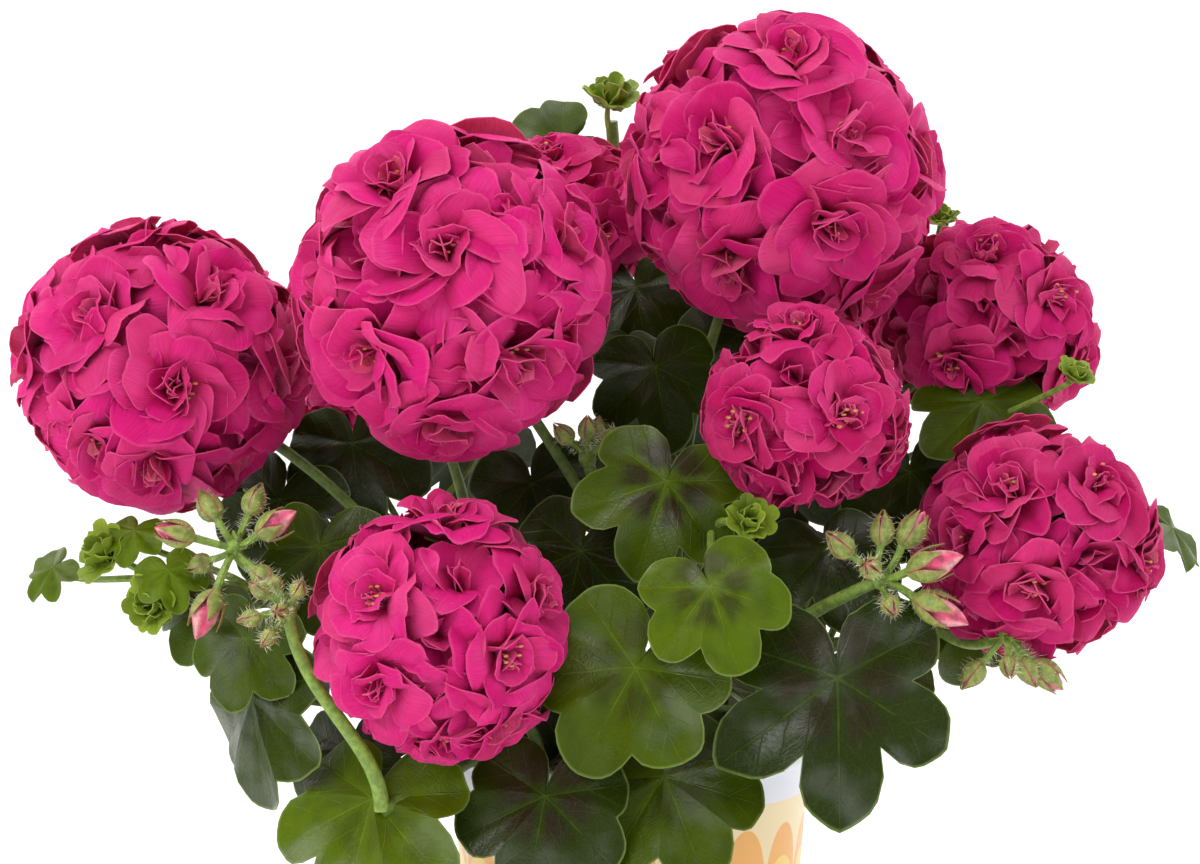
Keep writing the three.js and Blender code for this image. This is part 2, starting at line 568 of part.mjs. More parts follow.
/**
 * A head of double flowers: one closed skin. Each flower owns the part of the ball that is
 * nearest to its axis, and there rises from the core as a lobed outer cup of petals with a
 * smaller, steeper cup inside it.
 */
function headSolid(centre, radius, given, seed) {
  const axes = flowerAxes(centre, radius, given);
  const hull = hullTriangles(axes);
  const positions = [];
  const triangles = [];
  const addPoint = (point) => {
    positions.push(...point.clone().add(centre).toArray());
    return positions.length / 3 - 1;
  };
  const corners = hull.map((face) => addPoint(face.centre.clone().multiplyScalar(radius * CORE_SHARE)));
  const reach = FLOWER_RADIUS / radius;
  axes.forEach((axis, flower) => {
    const [first, second] = crossAxes(axis);
    const roll = 2 * Math.PI * draw(seed + flower);
    const polar = (angle, turn, height) => {
      const point = axis.clone().multiplyScalar(Math.cos(angle) * height)
        .addScaledVector(first, Math.sin(angle) * Math.cos(turn) * height)
        .addScaledVector(second, Math.sin(angle) * Math.sin(turn) * height);
      axes.forEach((other, k) => {
        if (k === flower) return;
        const away = axis.clone().sub(other);
        const short = CELL_MARGIN * away.length() - point.dot(away);
        if (short > 0) point.addScaledVector(away, short / away.lengthSq());
      });
      return point;
    };
    const ring = (count, place) => {
      const numbered = [];
      for (let k = 0; k < count; k += 1) {
        const turn = (2 * Math.PI * k) / count;
        numbered.push([addPoint(place(k, turn + roll)), turn]);
      }
      return numbered;
    };
    const outer = (k, turn, thickness) => {
      const [width, height] = k % 2 ? OUTER_NOTCH : OUTER_TIP;
      const wave = 0.94 + 0.1 * draw(seed + flower * 17 + k);
      return polar(reach * width * wave, turn, radius * height + thickness);
    };
    const inner = (k, turn, thickness) => {
      const [width, height] = k % 2 ? INNER_NOTCH : INNER_TIP;
      return polar(reach * width - thickness / radius, turn, radius * height);
    };
    const plain = ([width, height]) => (k, turn) => polar(reach * width, turn, radius * height);
    const cell = hull.map((face, k) => ({ face, index: corners[k] }))
      .filter(({ face }) => face.corners.includes(flower))
      .map(({ face, index }) => {
        const turn = Math.atan2(face.centre.dot(second), face.centre.dot(first)) - roll;
        return [index, ((turn % (2 * Math.PI)) + 4 * Math.PI) % (2 * Math.PI)];
      })
      .sort((a, b) => a[1] - b[1]);
    const chain = [
      cell,
      ring(OUTER_LOBES, plain(NECK)),
      ring(OUTER_LOBES * 2, (k, turn) => outer(k, turn, -PETAL_THICKNESS)),
      ring(OUTER_LOBES * 2, (k, turn) => outer(k, turn, 0)),
      ring(OUTER_LOBES, plain(CREASE)),
      ring(INNER_LOBES * 2, (k, turn) => inner(k, turn, 0)),
      ring(INNER_LOBES * 2, (k, turn) => inner(k, turn, PETAL_THICKNESS)),
    ];
    chain.slice(1).forEach((upper, k) => stitch(triangles, chain[k], upper));
    const last = chain[chain.length - 1];
    const middle = addPoint(polar(0, 0, radius * EYE_HEIGHT));
    last.forEach(([index], k) => triangles.push(index, last[(k + 1) % last.length][0], middle));
  });
  return solidFromArrays(positions, triangles);
}

// Bud umbels

/** A pointed bud on its short stalk, from the hub outwards. */
function stalkedBud(centre, [x, y, z, size, open]) {
  const offset = new THREE.Vector3(x, y, z);
  const along = offset.clone().normalize();
  const [first, second] = crossAxes(along);
  const length = BUD_LENGTH * size * (1 + OPENING_GROWTH * open);
  const base = offset.length() - length * 0.5;
  const at = (distance) => centre.clone().addScaledVector(along, distance);
  return ringBody(at(0), [
    roundRing(at(0.5), first, second, PEDICEL_RADIUS, PEDICEL_SIDES),
    roundRing(at(base), first, second, PEDICEL_RADIUS, PEDICEL_SIDES),
    roundRing(at(base + length * 0.28), first, second, BUD_RADIUS * size, BUD_SIDES),
    roundRing(at(base + length * 0.7), first, second, BUD_RADIUS * size * (0.78 + 0.25 * open), BUD_SIDES),
  ], at(base + length));
}

/** A bud umbel: short stalks from a hub, each with a bud at its end. */
function budsSolid(hub, rows) {
  const centre = solidFromGeometry(new THREE.IcosahedronGeometry(HUB_RADIUS, 0).translate(...hub));
  return join([centre, ...rows.map((row) => stalkedBud(vec(hub), row))]);
}

// Pot and soil

/** The pot's outer radius at a height. */
function potRadius(z) {
  return POT_BASE_RADIUS + ((POT_TOP_RADIUS - POT_BASE_RADIUS) * z) / POT_HEIGHT;
}

function lathe(profile) {
  const points = profile.map(([radius, z]) => new THREE.Vector2(radius, z));
  return solidFromGeometry(new THREE.LatheGeometry(points, POT_SIDES).rotateX(Math.PI / 2));
}

function potSolid() {
  const shoulder = POT_HEIGHT - RIM_HEIGHT;
  const body = lathe([
    [0, 0],
    [POT_BASE_RADIUS, 0],
    [potRadius(shoulder), shoulder],
    [potRadius(shoulder) + RIM_BEAD, shoulder + 0.6],
    [POT_TOP_RADIUS + RIM_BEAD, POT_HEIGHT - 0.8],
    [POT_TOP_RADIUS + RIM_BEAD - 0.8, POT_HEIGHT],
    [POT_TOP_RADIUS - POT_WALL, POT_HEIGHT],
    [POT_BASE_RADIUS - POT_WALL, POT_WALL],
    [0, POT_WALL],
  ]);
  const holes = Array.from({ length: DRAIN_HOLES }, (_, k) => {
    const angle = (2 * Math.PI * (k + 0.5)) / DRAIN_HOLES;
    const hole = new THREE.CylinderGeometry(DRAIN_HOLE_RADIUS, DRAIN_HOLE_RADIUS, POT_WALL * 4, 8);
    hole.rotateX(Math.PI / 2);
    hole.translate(DRAIN_CIRCLE_RADIUS * Math.cos(angle), DRAIN_CIRCLE_RADIUS * Math.sin(angle), 0);
    return solidFromGeometry(hole);
  });
  return holes.reduce((solid, hole) => solid.subtract(hole), body);
}

function soilSolid() {
  const inner = (z) => potRadius(z) - POT_WALL * 1.05 - FIT_GAP;
  const body = lathe([
    [0, POT_WALL + FIT_GAP],
    [inner(0), POT_WALL + FIT_GAP],
    [inner(SOIL_TOP - 3), SOIL_TOP - 3],
    [POT_TOP_RADIUS * 0.6, SOIL_TOP],
    [0, SOIL_TOP + 1],
  ]);
  const holes = SHOOTS.map(([name, , radius]) => stemSolid(name, radius, FIT_GAP));
  return holes.reduce((solid, hole) => solid.subtract(hole), body);
}

// The plant

const plant = new THREE.Group();

function addPiece(name, solid, look) {
  const mesh = solid.getMesh();
  const geometry = new THREE.BufferGeometry();
  geometry.setAttribute("position", new THREE.BufferAttribute(mesh.vertProperties, 3));
  geometry.setIndex(new THREE.BufferAttribute(mesh.triVerts, 1));
  geometry.computeVertexNormals();
  const piece = new THREE.Mesh(geometry, new THREE.MeshStandardMaterial(COLOURS[look]));
  piece.name = name;
  plant.add(piece);
}

addPiece("pot", potSolid(), "pot");
addPiece("soil", soilSolid(), "soil");

const grownShoots = SHOOTS.map(([name, , radius]) => shootSolid(name, radius, FIT_GAP));
SHOOTS.forEach(([name, , radius], k) => {
  const shoot = shootSolid(name, radius, 0);
  addPiece(name, clearOf(shoot, grownShoots.slice(0, k)), "shoot");
});
HEADS.forEach(([name, centre, radius, , , given], k) => {
  const head = headSolid(vec(centre), radius, given, k * 53 + 11);
  addPiece(name, clearOf(head, grownShoots), "head");
});
BUDS.forEach(([name, hub, , , , rows]) => {
  addPiece(name, clearOf(budsSolid(hub, rows), grownShoots), "buds");
});

export default plant;
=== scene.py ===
"""Looks of the potted ivy geranium.

Finer pieces take the places of the frame's solids and follow the same tables: flower heads of
ruffled petals, veined leaves on stalks, hairy buds, a printed pot and crumbly soil. Lengths in
this file are millimetres until a mesh is made; +Z is up and the viewer stands on the -Y side.
"""

import math

import bmesh
import bpy
import numpy as np
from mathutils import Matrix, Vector


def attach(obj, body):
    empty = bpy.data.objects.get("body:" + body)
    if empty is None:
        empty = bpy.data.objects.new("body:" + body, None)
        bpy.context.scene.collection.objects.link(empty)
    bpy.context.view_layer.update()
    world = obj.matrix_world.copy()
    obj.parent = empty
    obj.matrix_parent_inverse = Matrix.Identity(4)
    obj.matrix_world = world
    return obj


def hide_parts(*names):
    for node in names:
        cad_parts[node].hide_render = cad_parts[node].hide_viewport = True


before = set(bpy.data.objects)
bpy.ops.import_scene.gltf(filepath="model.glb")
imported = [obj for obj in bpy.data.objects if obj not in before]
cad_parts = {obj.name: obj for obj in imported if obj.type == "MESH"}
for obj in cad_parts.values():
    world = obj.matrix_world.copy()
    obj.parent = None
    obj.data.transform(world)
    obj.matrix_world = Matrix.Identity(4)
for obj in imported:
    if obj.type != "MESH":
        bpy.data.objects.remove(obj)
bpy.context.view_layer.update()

MM = 0.001

# ---- Tables shared with the solids

POT_HEIGHT = 105
POT_TOP_RADIUS = 60
POT_BASE_RADIUS = 51.5
POT_WALL = 1.6
RIM_BEAD = 1.4
RIM_HEIGHT = 4
DRAIN_HOLES = 5
DRAIN_HOLE_RADIUS = 4.5
DRAIN_CIRCLE_RADIUS = 33
SOIL_TOP = 94
FIT_GAP = 0.3
STEM_STEPS = 7
PETIOLE_LENGTH = 46
RIM_CLEARANCE = 8
FLOWER_RADIUS = 22
BUD_LENGTH = 12
BUD_RADIUS = 3.6
OPENING_GROWTH = 0.35
FINE_LEAF_SIZE = 20

SHOOTS = [
    ["shoot_left", [[-28, -6, 62], [-40, -10, 165], [-95, -26, 148], [-156, -32, 164]], 3],
    ["shoot_front_left", [[-16, -25, 62], [-30, -47, 140], [-48, -74, 110], [-78, -94, 100]], 3],
    ["shoot_front", [[4, -33, 62], [8, -46, 150], [2, -60, 146], [-12, -70, 160]], 3],
    ["shoot_centre", [[12, -10, 62], [14, -12, 175], [22, -34, 186], [27, -62, 186]], 3],
    ["shoot_front_right", [[28, -22, 62], [38, -36, 150], [55, -52, 146], [82, -60, 148]], 3],
    ["shoot_right", [[34, 4, 62], [48, 6, 160], [90, -14, 128], [146, -2, 140]], 3],
    ["shoot_back_right", [[22, 24, 62], [30, 34, 170], [78, 52, 190], [104, 82, 258]], 3],
    ["shoot_back", [[-2, 32, 62], [-4, 44, 180], [2, 118, 240], [-6, 92, 308]], 3],
    ["shoot_back_left", [[-24, 20, 62], [-32, 28, 165], [-76, 52, 168], [-116, 62, 190]], 3],
]

HEADS = [
    ["head_left", [-154, -10, 231], 49, "shoot_left", 0.52,
     [[15, -5], [35, 40], [-25, 30], [-30, -30], [5, -45]]],
    ["head_centre_left", [-57, -45, 259], 54, "shoot_front", 0.7,
     [[0, 22], [30, -25], [-38, -22], [-8, -60], [-35, 50]]],
    ["head_back_centre", [-20, 60, 275], 31, "shoot_back", 0.62, [[20, -8], [-40, 60]]],
    ["head_top", [49.5, 0, 293], 54, "shoot_centre", 0.45,
     [[-28, 18], [25, 22], [20, -15], [-30, -35], [5, 62], [75, 5]]],
    ["head_right", [121, 34, 242], 38, "shoot_back_right", 0.5,
     [[-30, -18], [38, 20], [-5, 55], [60, -20]]],
    ["head_centre", [55, -58, 222], 34, "shoot_centre", 0.75,
     [[-42, 0], [22, 2], [-10, 70], [80, -20]]],
    ["head_low_right", [129.5, -40, 177], 41, "shoot_right", 0.62,
     [[-5, -15], [-22, 38], [-50, 8], [65, -5], [38, 38]]],
    ["head_low_left", [-60, -88, 156], 42, "shoot_front_left", 0.4,
     [[-32, 22], [-30, -18], [35, -5], [10, 75], [70, 20], [8, -60], [50, -45]]],
    ["head_back_left", [-86, 80, 232], 38, "shoot_back_left", 0.55, []],
    ["head_back_right", [62, 96, 236], 33, "shoot_back_right", 0.42, []],
]

BUDS = [
    ["buds_left", [-126, -60, 178], [0.2, 0.7, -0.7], "shoot_left", 0.78,
     [[-19, -6, 6, 1, 0.5], [-9, 8, 13, 0.95, 0], [6, 8, 15, 0.9, 0], [14, -6, 9, 1, 1],
      [-8, -16, -19, 1.15, 1], [10, -10, -8, 0.8, 0], [-12, 6, -6, 0.75, 0]]],
    ["buds_low_left", [-107, -92, 163], [0.1, -0.05, -1], "shoot_front_left", 1,
     [[-9, -2, 7, 0.6, 0], [-12, -5, -2, 0.6, 0], [-6, -8, -8, 0.55, 0], [4, -7, 8, 0.6, 0],
      [-2, -11, 1, 0.6, 0], [-5, 7, 8, 0.55, 0]]],
    ["buds_right", [78, -74, 170], [-0.85, 0.25, -0.45], "shoot_front_right", 0.62,
     [[-13, -4, 12, 0.9, 0], [-4, -14, 6, 0.8, 0], [1, 4, 16, 0.9, 0], [11, 4, 16, 1, 0.5],
      [17, -7, 6, 1.2, 1], [19, -6, -9, 1.2, 1], [3, -12, -7, 0.7, 0]]],
    ["buds_low_right", [119, -63, 151], [-0.7, 0.5, -0.5], "shoot_right", 0.7,
     [[-11, -2, -13, 0.85, 0], [7, -3, -12, 0.8, 0], [14, 2, -14, 1, 0.5],
      [0, -12, -9, 0.7, 0]]],
    ["buds_centre", [-14, -36, 204], [0.2, 0.2, -1], "shoot_centre", 0.6,
     [[-8, -4, 9, 0.7, 0], [0, -6, 11, 0.7, 0], [8, -4, 8, 0.65, 0], [3, 6, 10, 0.6, 0]]],
]

# Leaves: shoot, place, facing, spin, size, cut, and the look: tone 0 dark to 1 bright, zone 0 to 1; a low
# tone on a leaf deep inside the plant is painted shade, on the others it is the leaf's own green
LEAVES = [
    ["shoot_centre", [11, -64, 200], [8, 25], -20, 32, 0.5, 0.5, 1],
    ["shoot_centre", [24, -97, 171], [0, 30], 20, 28, 0.3, 0.75, 0.7],
    ["shoot_front", [1, -99, 146], [-4, 16], -30, 36, 0.3, 0.5, 0.5],
    ["shoot_front_right", [64, -88, 141], [8, 14], 2, 45, 0.8, 0.08, 0.8],
    ["shoot_front_left", [-81, -90, 103], [-20, 36], -8, 38, 0.5, 0.8, 0.3],
    ["shoot_front", [-27, -96, 105], [-8, 24], -10, 33, 0.2, 0.1, 0.9],
    ["shoot_front", [10, -84, 109], [5, 34], 22, 35, 0.2, 0.45, 0.4],
    ["shoot_front_left", [-120, -66, 131], [-52, 6], 0, 36, 0.2, 0.2, 0.3],
    ["shoot_front_left", [-122, -72, 151], [-26, 20], -12, 23, 0.3, 0.4, 0.3],
    ["shoot_back", [-23, 96, 301], [-8, 34], -60, 24, 0.2, 0.4, 0.3],
    ["shoot_back_right", [116, 0, 219], [4, 46], 10, 28, 0.3, 0.5, 0.3],
    ["shoot_centre", [8, -18, 232], [0, 30], 10, 27, 0.3, 0.05, 0.4],
    ["shoot_front_right", [63, -42, 176], [5, 46], 10, 28, 0.2, 0.15, 0.5],
    ["shoot_right", [108, -22, 150], [12, 22], -8, 21, 0.4, 0.35, 0.4],
    ["shoot_right", [179, 0, 177], [64, 44], 40, 17, 0.3, 0.55, 0.1],
    ["shoot_front", [-16, -50, 176], [-14, 20], -12, 30, 0.2, 0.05, 0.5],
    ["shoot_left", [-116, 4, 186], [-22, 24], -12, 28, 0.3, 0.08, 0.4],
    ["shoot_left", [-92, 8, 204], [-10, 26], 8, 29, 0.2, 0.05, 0.4],
    ["shoot_left", [-100, -42, 176], [-18, 22], 0, 27, 0.3, 0.3, 0.4],
    ["shoot_front", [-30, -37, 136], [-14, 26], 0, 30, 0.3, 0.05, 0.5],
    ["shoot_back_right", [92, -4, 196], [14, 30], -10, 28, 0.4, 0.15, 0.4],
    ["shoot_centre", [44, -20, 196], [4, 30], 12, 28, 0.3, 0.05, 0.4],
    ["shoot_left", [-137, -46, 158], [-30, 32], -18, 20, 0.4, 0.45, 0.3],
    ["shoot_front_left", [-90, -54, 112], [-24, 26], 4, 26, 0.3, 0.2, 0.4],
    ["shoot_front_right", [80, -62, 140], [24, 30], 20, 22, 0.4, 0.25, 0.5],
    ["shoot_back", [0, 26, 236], [170, 64], 0, 27, 0.3, 0.3, 0.4],
    ["shoot_back_right", [36, 14, 240], [0, 24], 6, 26, 0.3, 0.15, 0.4],
    ["shoot_left", [-188, -24, 167], [-40, 40], -30, 13, 0.4, 0.8, 0],
    ["shoot_left", [-160, -38, 181], [-20, 52], 0, 13, 0.4, 1, 0],
    ["shoot_left", [-148, -52, 170], [-6, 36], 20, 14, 0.4, 1, 0],
    ["shoot_centre", [-32, -20, 194], [-6, 26], 14, 27, 0.3, 0.1, 0.4],
    ["shoot_back", [2, 34, 254], [-2, 34], 10, 25, 0.3, 0.1, 0.4],
]

LEAF_TIERS = [
    [114, 75, 30, 31, 96, 296, 6],
    [156, 92, 28, 33, 92, 292, 6],
    [198, 76, 40, 32, 150, 240, 2],
]
TIER_JITTER = 4
TIER_STAGGER = 8
LOBE_ANGLE = 57
LOBE_LENGTHS = [1, 0.93, 0.8]
SHOULDER_ANGLE = 17
PLEAT = 0.08
DROOP = 0.2
RIM_VARIATION = 0.08
PETIOLE_BEND = 0.3
PETIOLE_LIFT = 0.15

TIPS = [
    ["shoot_left", 1, [-168, -34, 172], [-0.6, -0.6, 0.5], 14],
    ["shoot_left", 0.9, [-152, -48, 158], [-0.4, -0.8, 0.2], 12],
    ["shoot_back", 0.95, [-7, 88, 314], [0.2, -0.5, 0.9], 14],
    ["shoot_centre", 1, [36, -76, 188], [0.3, -0.8, 0.5], 11],
    ["shoot_back_right", 1, [108, 84, 273], [0, -0.4, 1], 10],
    ["shoot_back_right", 0.55, [145, -14, 228], [0.3, -0.5, 0.8], 9],
]

# ---- Small helpers


def draw(n):
    """A repeatable draw from 0 to 1 for a number."""
    value = math.sin(n * 12.9898 + 4.1414) * 43758.5453
    return value - math.floor(value)


def facing(azimuth, elevation):
    """The direction for an azimuth (0 faces -Y, positive towards +X) and an elevation."""
    a, e = math.radians(azimuth), math.radians(elevation)
    return np.array([math.sin(a) * math.cos(e), -math.cos(a) * math.cos(e), math.sin(e)])


def unit(v):
    v = np.asarray(v, float)
    return v / np.linalg.norm(v)


def cross_axes(axis):
    helper = np.array([0, 0, 1.0]) if abs(axis[2]) < 0.9 else np.array([1.0, 0, 0])
    first = unit(np.cross(helper, axis))
    return first, np.cross(axis, first)


def unit_rows(v, least=1e-9):
    return v / (np.linalg.norm(v, axis=-1, keepdims=True) + least)


def bezier(points, t):
    p = np.asarray(points, float)
    t = np.asarray(t, float)[..., None]
    s = 1 - t
    return s**3 * p[0] + 3 * s * s * t * p[1] + 3 * s * t * t * p[2] + t**3 * p[3]


def spaced(points, count):
    """Points evenly spaced along a Bezier curve."""
    t = np.linspace(0, 1, 201)
    line = bezier(points, t)
    length = np.concatenate([[0], np.cumsum(np.linalg.norm(np.diff(line, axis=0), axis=1))])
    return bezier(points, np.interp(np.linspace(0, length[-1], count + 1), length, t))


class Mesh:
    """Triangles gathered for one piece, with named vector values on the points."""

    def __init__(self, *names):
        self.points, self.faces, self.count = [], [], 0
        self.values = {name: [] for name in names}

    def add(self, points, faces, **values):
        points = np.asarray(points, float).reshape(-1, 3)
        self.points.append(points)
        self.faces.append(np.asarray(faces, int).reshape(-1, 3) + self.count)
        for name, store in self.values.items():
            store.append(np.broadcast_to(np.asarray(values[name], float), (len(points), 3)))
        self.count += len(points)

    def piece(self, name, material, slot, nodes, sharp=50):
        points = np.concatenate(self.points) * MM
        faces = np.concatenate(self.faces)
        mesh = bpy.data.meshes.new(name)
        mesh.vertices.add(len(points))
        mesh.vertices.foreach_set("co", points.ravel())
        mesh.loops.add(faces.size)
        mesh.loops.foreach_set("vertex_index", faces.ravel().astype(np.int32))
        mesh.polygons.add(len(faces))
        mesh.polygons.foreach_set("loop_start", np.arange(0, faces.size, 3, dtype=np.int32))
        mesh.polygons.foreach_set("use_smooth", np.ones(len(faces), bool))
        mesh.update(calc_edges=True)
        mesh.validate()
        mesh.set_sharp_from_angle(angle=math.radians(sharp))
        for value, store in self.values.items():
            layer = mesh.attributes.new(value, "FLOAT_VECTOR", "POINT")
            layer.data.foreach_set("vector", np.concatenate(store).ravel())
        piece = link(name, mesh)
        mesh.materials.append(material)
        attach(piece, "root")
        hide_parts(*nodes)
        return piece


def grid_faces(rows, columns, start=0, closed=False):
    """Two triangles a cell of a grid of points; closed joins the last column to the first."""
    across = np.arange(columns if closed else columns - 1)
    i, j = np.meshgrid(np.arange(rows - 1), across, indexing="ij")
    a, b = i * columns + j, i * columns + (j + 1) % columns
    c, d = a + columns, b + columns
    cells = [np.stack([a, b, d], -1), np.stack([a, d, c], -1)]
    return start + np.concatenate([half.reshape(-1, 3) for half in cells])


def capped_faces(rows, sides):
    """A tube's triangles: its wall, then a fan onto the point at each end."""
    j = np.arange(sides)
    k, last = (j + 1) % sides, (rows - 1) * sides
    return np.concatenate([
        grid_faces(rows, sides, closed=True),
        np.stack([k, j, np.full(sides, rows * sides)], -1),
        np.stack([last + j, last + k, np.full(sides, rows * sides + 1)], -1),
    ])


def shell(sheet, thickness):
    """A thin closed shell of a grid of points: its points, triangles, and each point's side."""
    rows, columns, _ = sheet.shape
    normal = unit_rows(np.cross(np.gradient(sheet, axis=1), np.gradient(sheet, axis=0)))
    upper, lower = sheet - normal * thickness / 2, sheet + normal * thickness / 2
    total = rows * columns
    border = np.concatenate([
        np.arange(columns), np.arange(1, rows) * columns + columns - 1,
        np.arange(columns - 2, -1, -1) + (rows - 1) * columns,
        np.arange(rows - 2, 0, -1) * columns,
    ])
    after = np.roll(border, -1)
    faces = np.concatenate([
        grid_faces(rows, columns), grid_faces(rows, columns, total)[:, ::-1],
        np.stack([border, border + total, after], -1),
        np.stack([after, border + total, after + total], -1),
    ])
    points = np.concatenate([upper.reshape(-1, 3), lower.reshape(-1, 3)])
    return points, faces, np.repeat([0.0, 1.0], total)


def circle(first, second, sides):
    turn = 2 * np.pi * np.arange(sides) / sides
    return np.outer(np.cos(turn), first) + np.outer(np.sin(turn), second)


def around(first, second, turn):
    return first * math.cos(turn) + second * math.sin(turn)


def tube(line, radius, sides):
    """A round closed tube along points; radius is one number or one for each point."""
    line = np.asarray(line, float)
    radius = np.broadcast_to(np.asarray(radius, float), (len(line),))
    tangent = unit_rows(np.gradient(line, axis=0), 1e-12)
    first, _ = cross_axes(tangent[0])
    rings = []
    for point, reach, along in zip(line, radius, tangent):
        first = unit(first - along * np.dot(first, along))
        rings.append(point + reach * circle(first, np.cross(along, first), sides))
    return np.concatenate([*rings, line[:1], line[-1:]]), capped_faces(len(line), sides)


def spike(mesh, root, direction, length, radius, tint):
    """One hair: a slim three-sided spike."""
    ring = root + radius * circle(*cross_axes(direction), 3)
    mesh.add(np.vstack([ring, root + direction * length]),
             [[0, 1, 3], [1, 2, 3], [2, 0, 3], [0, 2, 1]], tint=tint)


def link(name, data):
    """A new object of the scene for some data."""
    made = bpy.data.objects.new(name, data)
    bpy.context.scene.collection.objects.link(made)
    return made


# ---- Node materials


class Nodes:
    """Short ways to add and link the nodes of one tree."""

    def __init__(self, tree):
        self.tree = tree

    def put(self, socket, value):
        if isinstance(value, bpy.types.NodeSocket):
            self.tree.links.new(value, socket)
        else:
            socket.default_value = value

    def node(self, kind, inputs=(), output=0, **settings):
        """A new node's output; inputs are the first sockets' values, or a dict by name or place."""
        node = self.tree.nodes.new(kind)
        for key, value in settings.items():
            setattr(node, key, value)
        pairs = inputs.items() if isinstance(inputs, dict) else enumerate(inputs)
        for key, value in pairs:
            self.put(node.inputs[key], value)
        return node.outputs[output]

    def math(self, operation, a, b=0.0, c=0.0, clamp=False):
        return self.node("ShaderNodeMath", (a, b, c), operation=operation, use_clamp=clamp)

    def add(self, a, b):
        return self.math("ADD", a, b)

    def sub(self, a, b):
        return self.math("SUBTRACT", a, b)

    def mul(self, a, b):
        return self.math("MULTIPLY", a, b)

    def abs(self, a):
        return self.math("ABSOLUTE", a)

    def range(self, value, low, high, to_low=0.0, to_high=1.0, kind="SMOOTHSTEP"):
        values = (value, low, high, to_low, to_high)
        return self.node("ShaderNodeMapRange", values, interpolation_type=kind)

    def mix(self, share, a, b, blend="MIX"):
        a, b = ((*colour, 1) if isinstance(colour, tuple) else colour for colour in (a, b))
        return self.node("ShaderNodeMix", {0: share, 6: a, 7: b}, 2, data_type="RGBA", blend_type=blend)

    def vector(self, name):
        return self.node("ShaderNodeAttribute", output="Vector", attribute_name=name)

    def split(self, vector):
        x = self.node("ShaderNodeSeparateXYZ", (vector,))
        return x.node.outputs

    def place(self):
        return self.node("ShaderNodeTexCoord", output="Object")

    def noise(self, vector, scale, detail=3.0, roughness=0.5):
        inputs = {"Vector": vector, "Scale": scale, "Detail": detail, "Roughness": roughness}
        return self.node("ShaderNodeTexNoise", inputs, "Fac")

    def cells(self, vector, scale):
        inputs = {"Vector": vector, "Scale": scale}
        return self.node("ShaderNodeTexVoronoi", inputs, "Distance", feature="DISTANCE_TO_EDGE")


class Look(Nodes):
    """A material's nodes and its shader."""

    def __init__(self, name):
        self.material = bpy.data.materials.new(name)
        self.material.use_nodes = True
        super().__init__(self.material.node_tree)
        self.shader = self.tree.nodes["Principled BSDF"]

    def set(self, name, value):
        self.put(self.shader.inputs[name], value)

    def bump(self, height, strength, distance):
        inputs = {"Strength": strength, "Distance": distance, "Height": height}
        self.set("Normal", self.node("ShaderNodeBump", inputs))

    def scatter(self, weight, radius, scale):
        self.set("Subsurface Weight", weight)
        self.set("Subsurface Radius", radius)
        self.set("Subsurface Scale", scale)


def petal_material():
    """Magenta petals: fine veins from the claw, a paler reverse, and painted shade on the petal feet near
    the eye.
    """
    n = Look("petal")
    u, t, side = n.split(n.vector("petal"))
    tone, _, salmon = n.split(n.vector("look"))
    mottle = n.noise(n.place(), 260, 4)
    wide = n.noise(n.place(), 60, 2)
    vein = n.noise(n.node("ShaderNodeCombineXYZ", (n.mul(u, 7.0), n.mul(t, 0.9), tone)), 2.6, 4, 0.6)
    vein = n.range(vein, 0.42, 0.62)
    face = n.mix(tone, (0.40, 0.0, 0.082), (0.68, 0.014, 0.20))
    face = n.mix(n.mul(n.range(wide, 0.4, 0.75), 0.5), face, (0.64, 0.060, 0.23))
    face = n.mix(n.mul(vein, 0.22), face, (0.40, 0.002, 0.08))
    edge = n.range(n.math("MAXIMUM", t, n.abs(u)), 0.93, 1.0)
    face = n.mix(n.mul(edge, 0.3), face, (0.80, 0.11, 0.30))
    # Painted shade: each petal darkens towards its foot, where the heart of the flower lies in shade.
    throat_painted_shade = n.range(t, 0.34, 0.02)
    face = n.mix(n.mul(throat_painted_shade, 0.55), face, (0.30, 0.0, 0.05))
    reverse = n.mix(n.mul(vein, 0.5), (0.68, 0.075, 0.23), (0.56, 0.02, 0.16))
    face = n.mix(salmon, face, (0.72, 0.10, 0.20))
    reverse = n.mix(salmon, reverse, (0.78, 0.20, 0.27))
    colour = n.mix(side, face, reverse)
    n.set("Base Color", colour)
    n.set("Roughness", n.range(mottle, 0.3, 0.7, 0.46, 0.62))
    n.set("Specular IOR Level", 0.06)
    n.set("Sheen Weight", 0.03)
    n.set("Sheen Roughness", 0.45)
    n.set("Sheen Tint", (1.0, 0.62, 0.82, 1))
    n.scatter(0.12, (1.0, 0.25, 0.5), 0.0012)
    n.bump(n.add(n.mul(vein, 0.4), n.mul(mottle, 0.5)), 0.6, 0.0006)
    return n.material


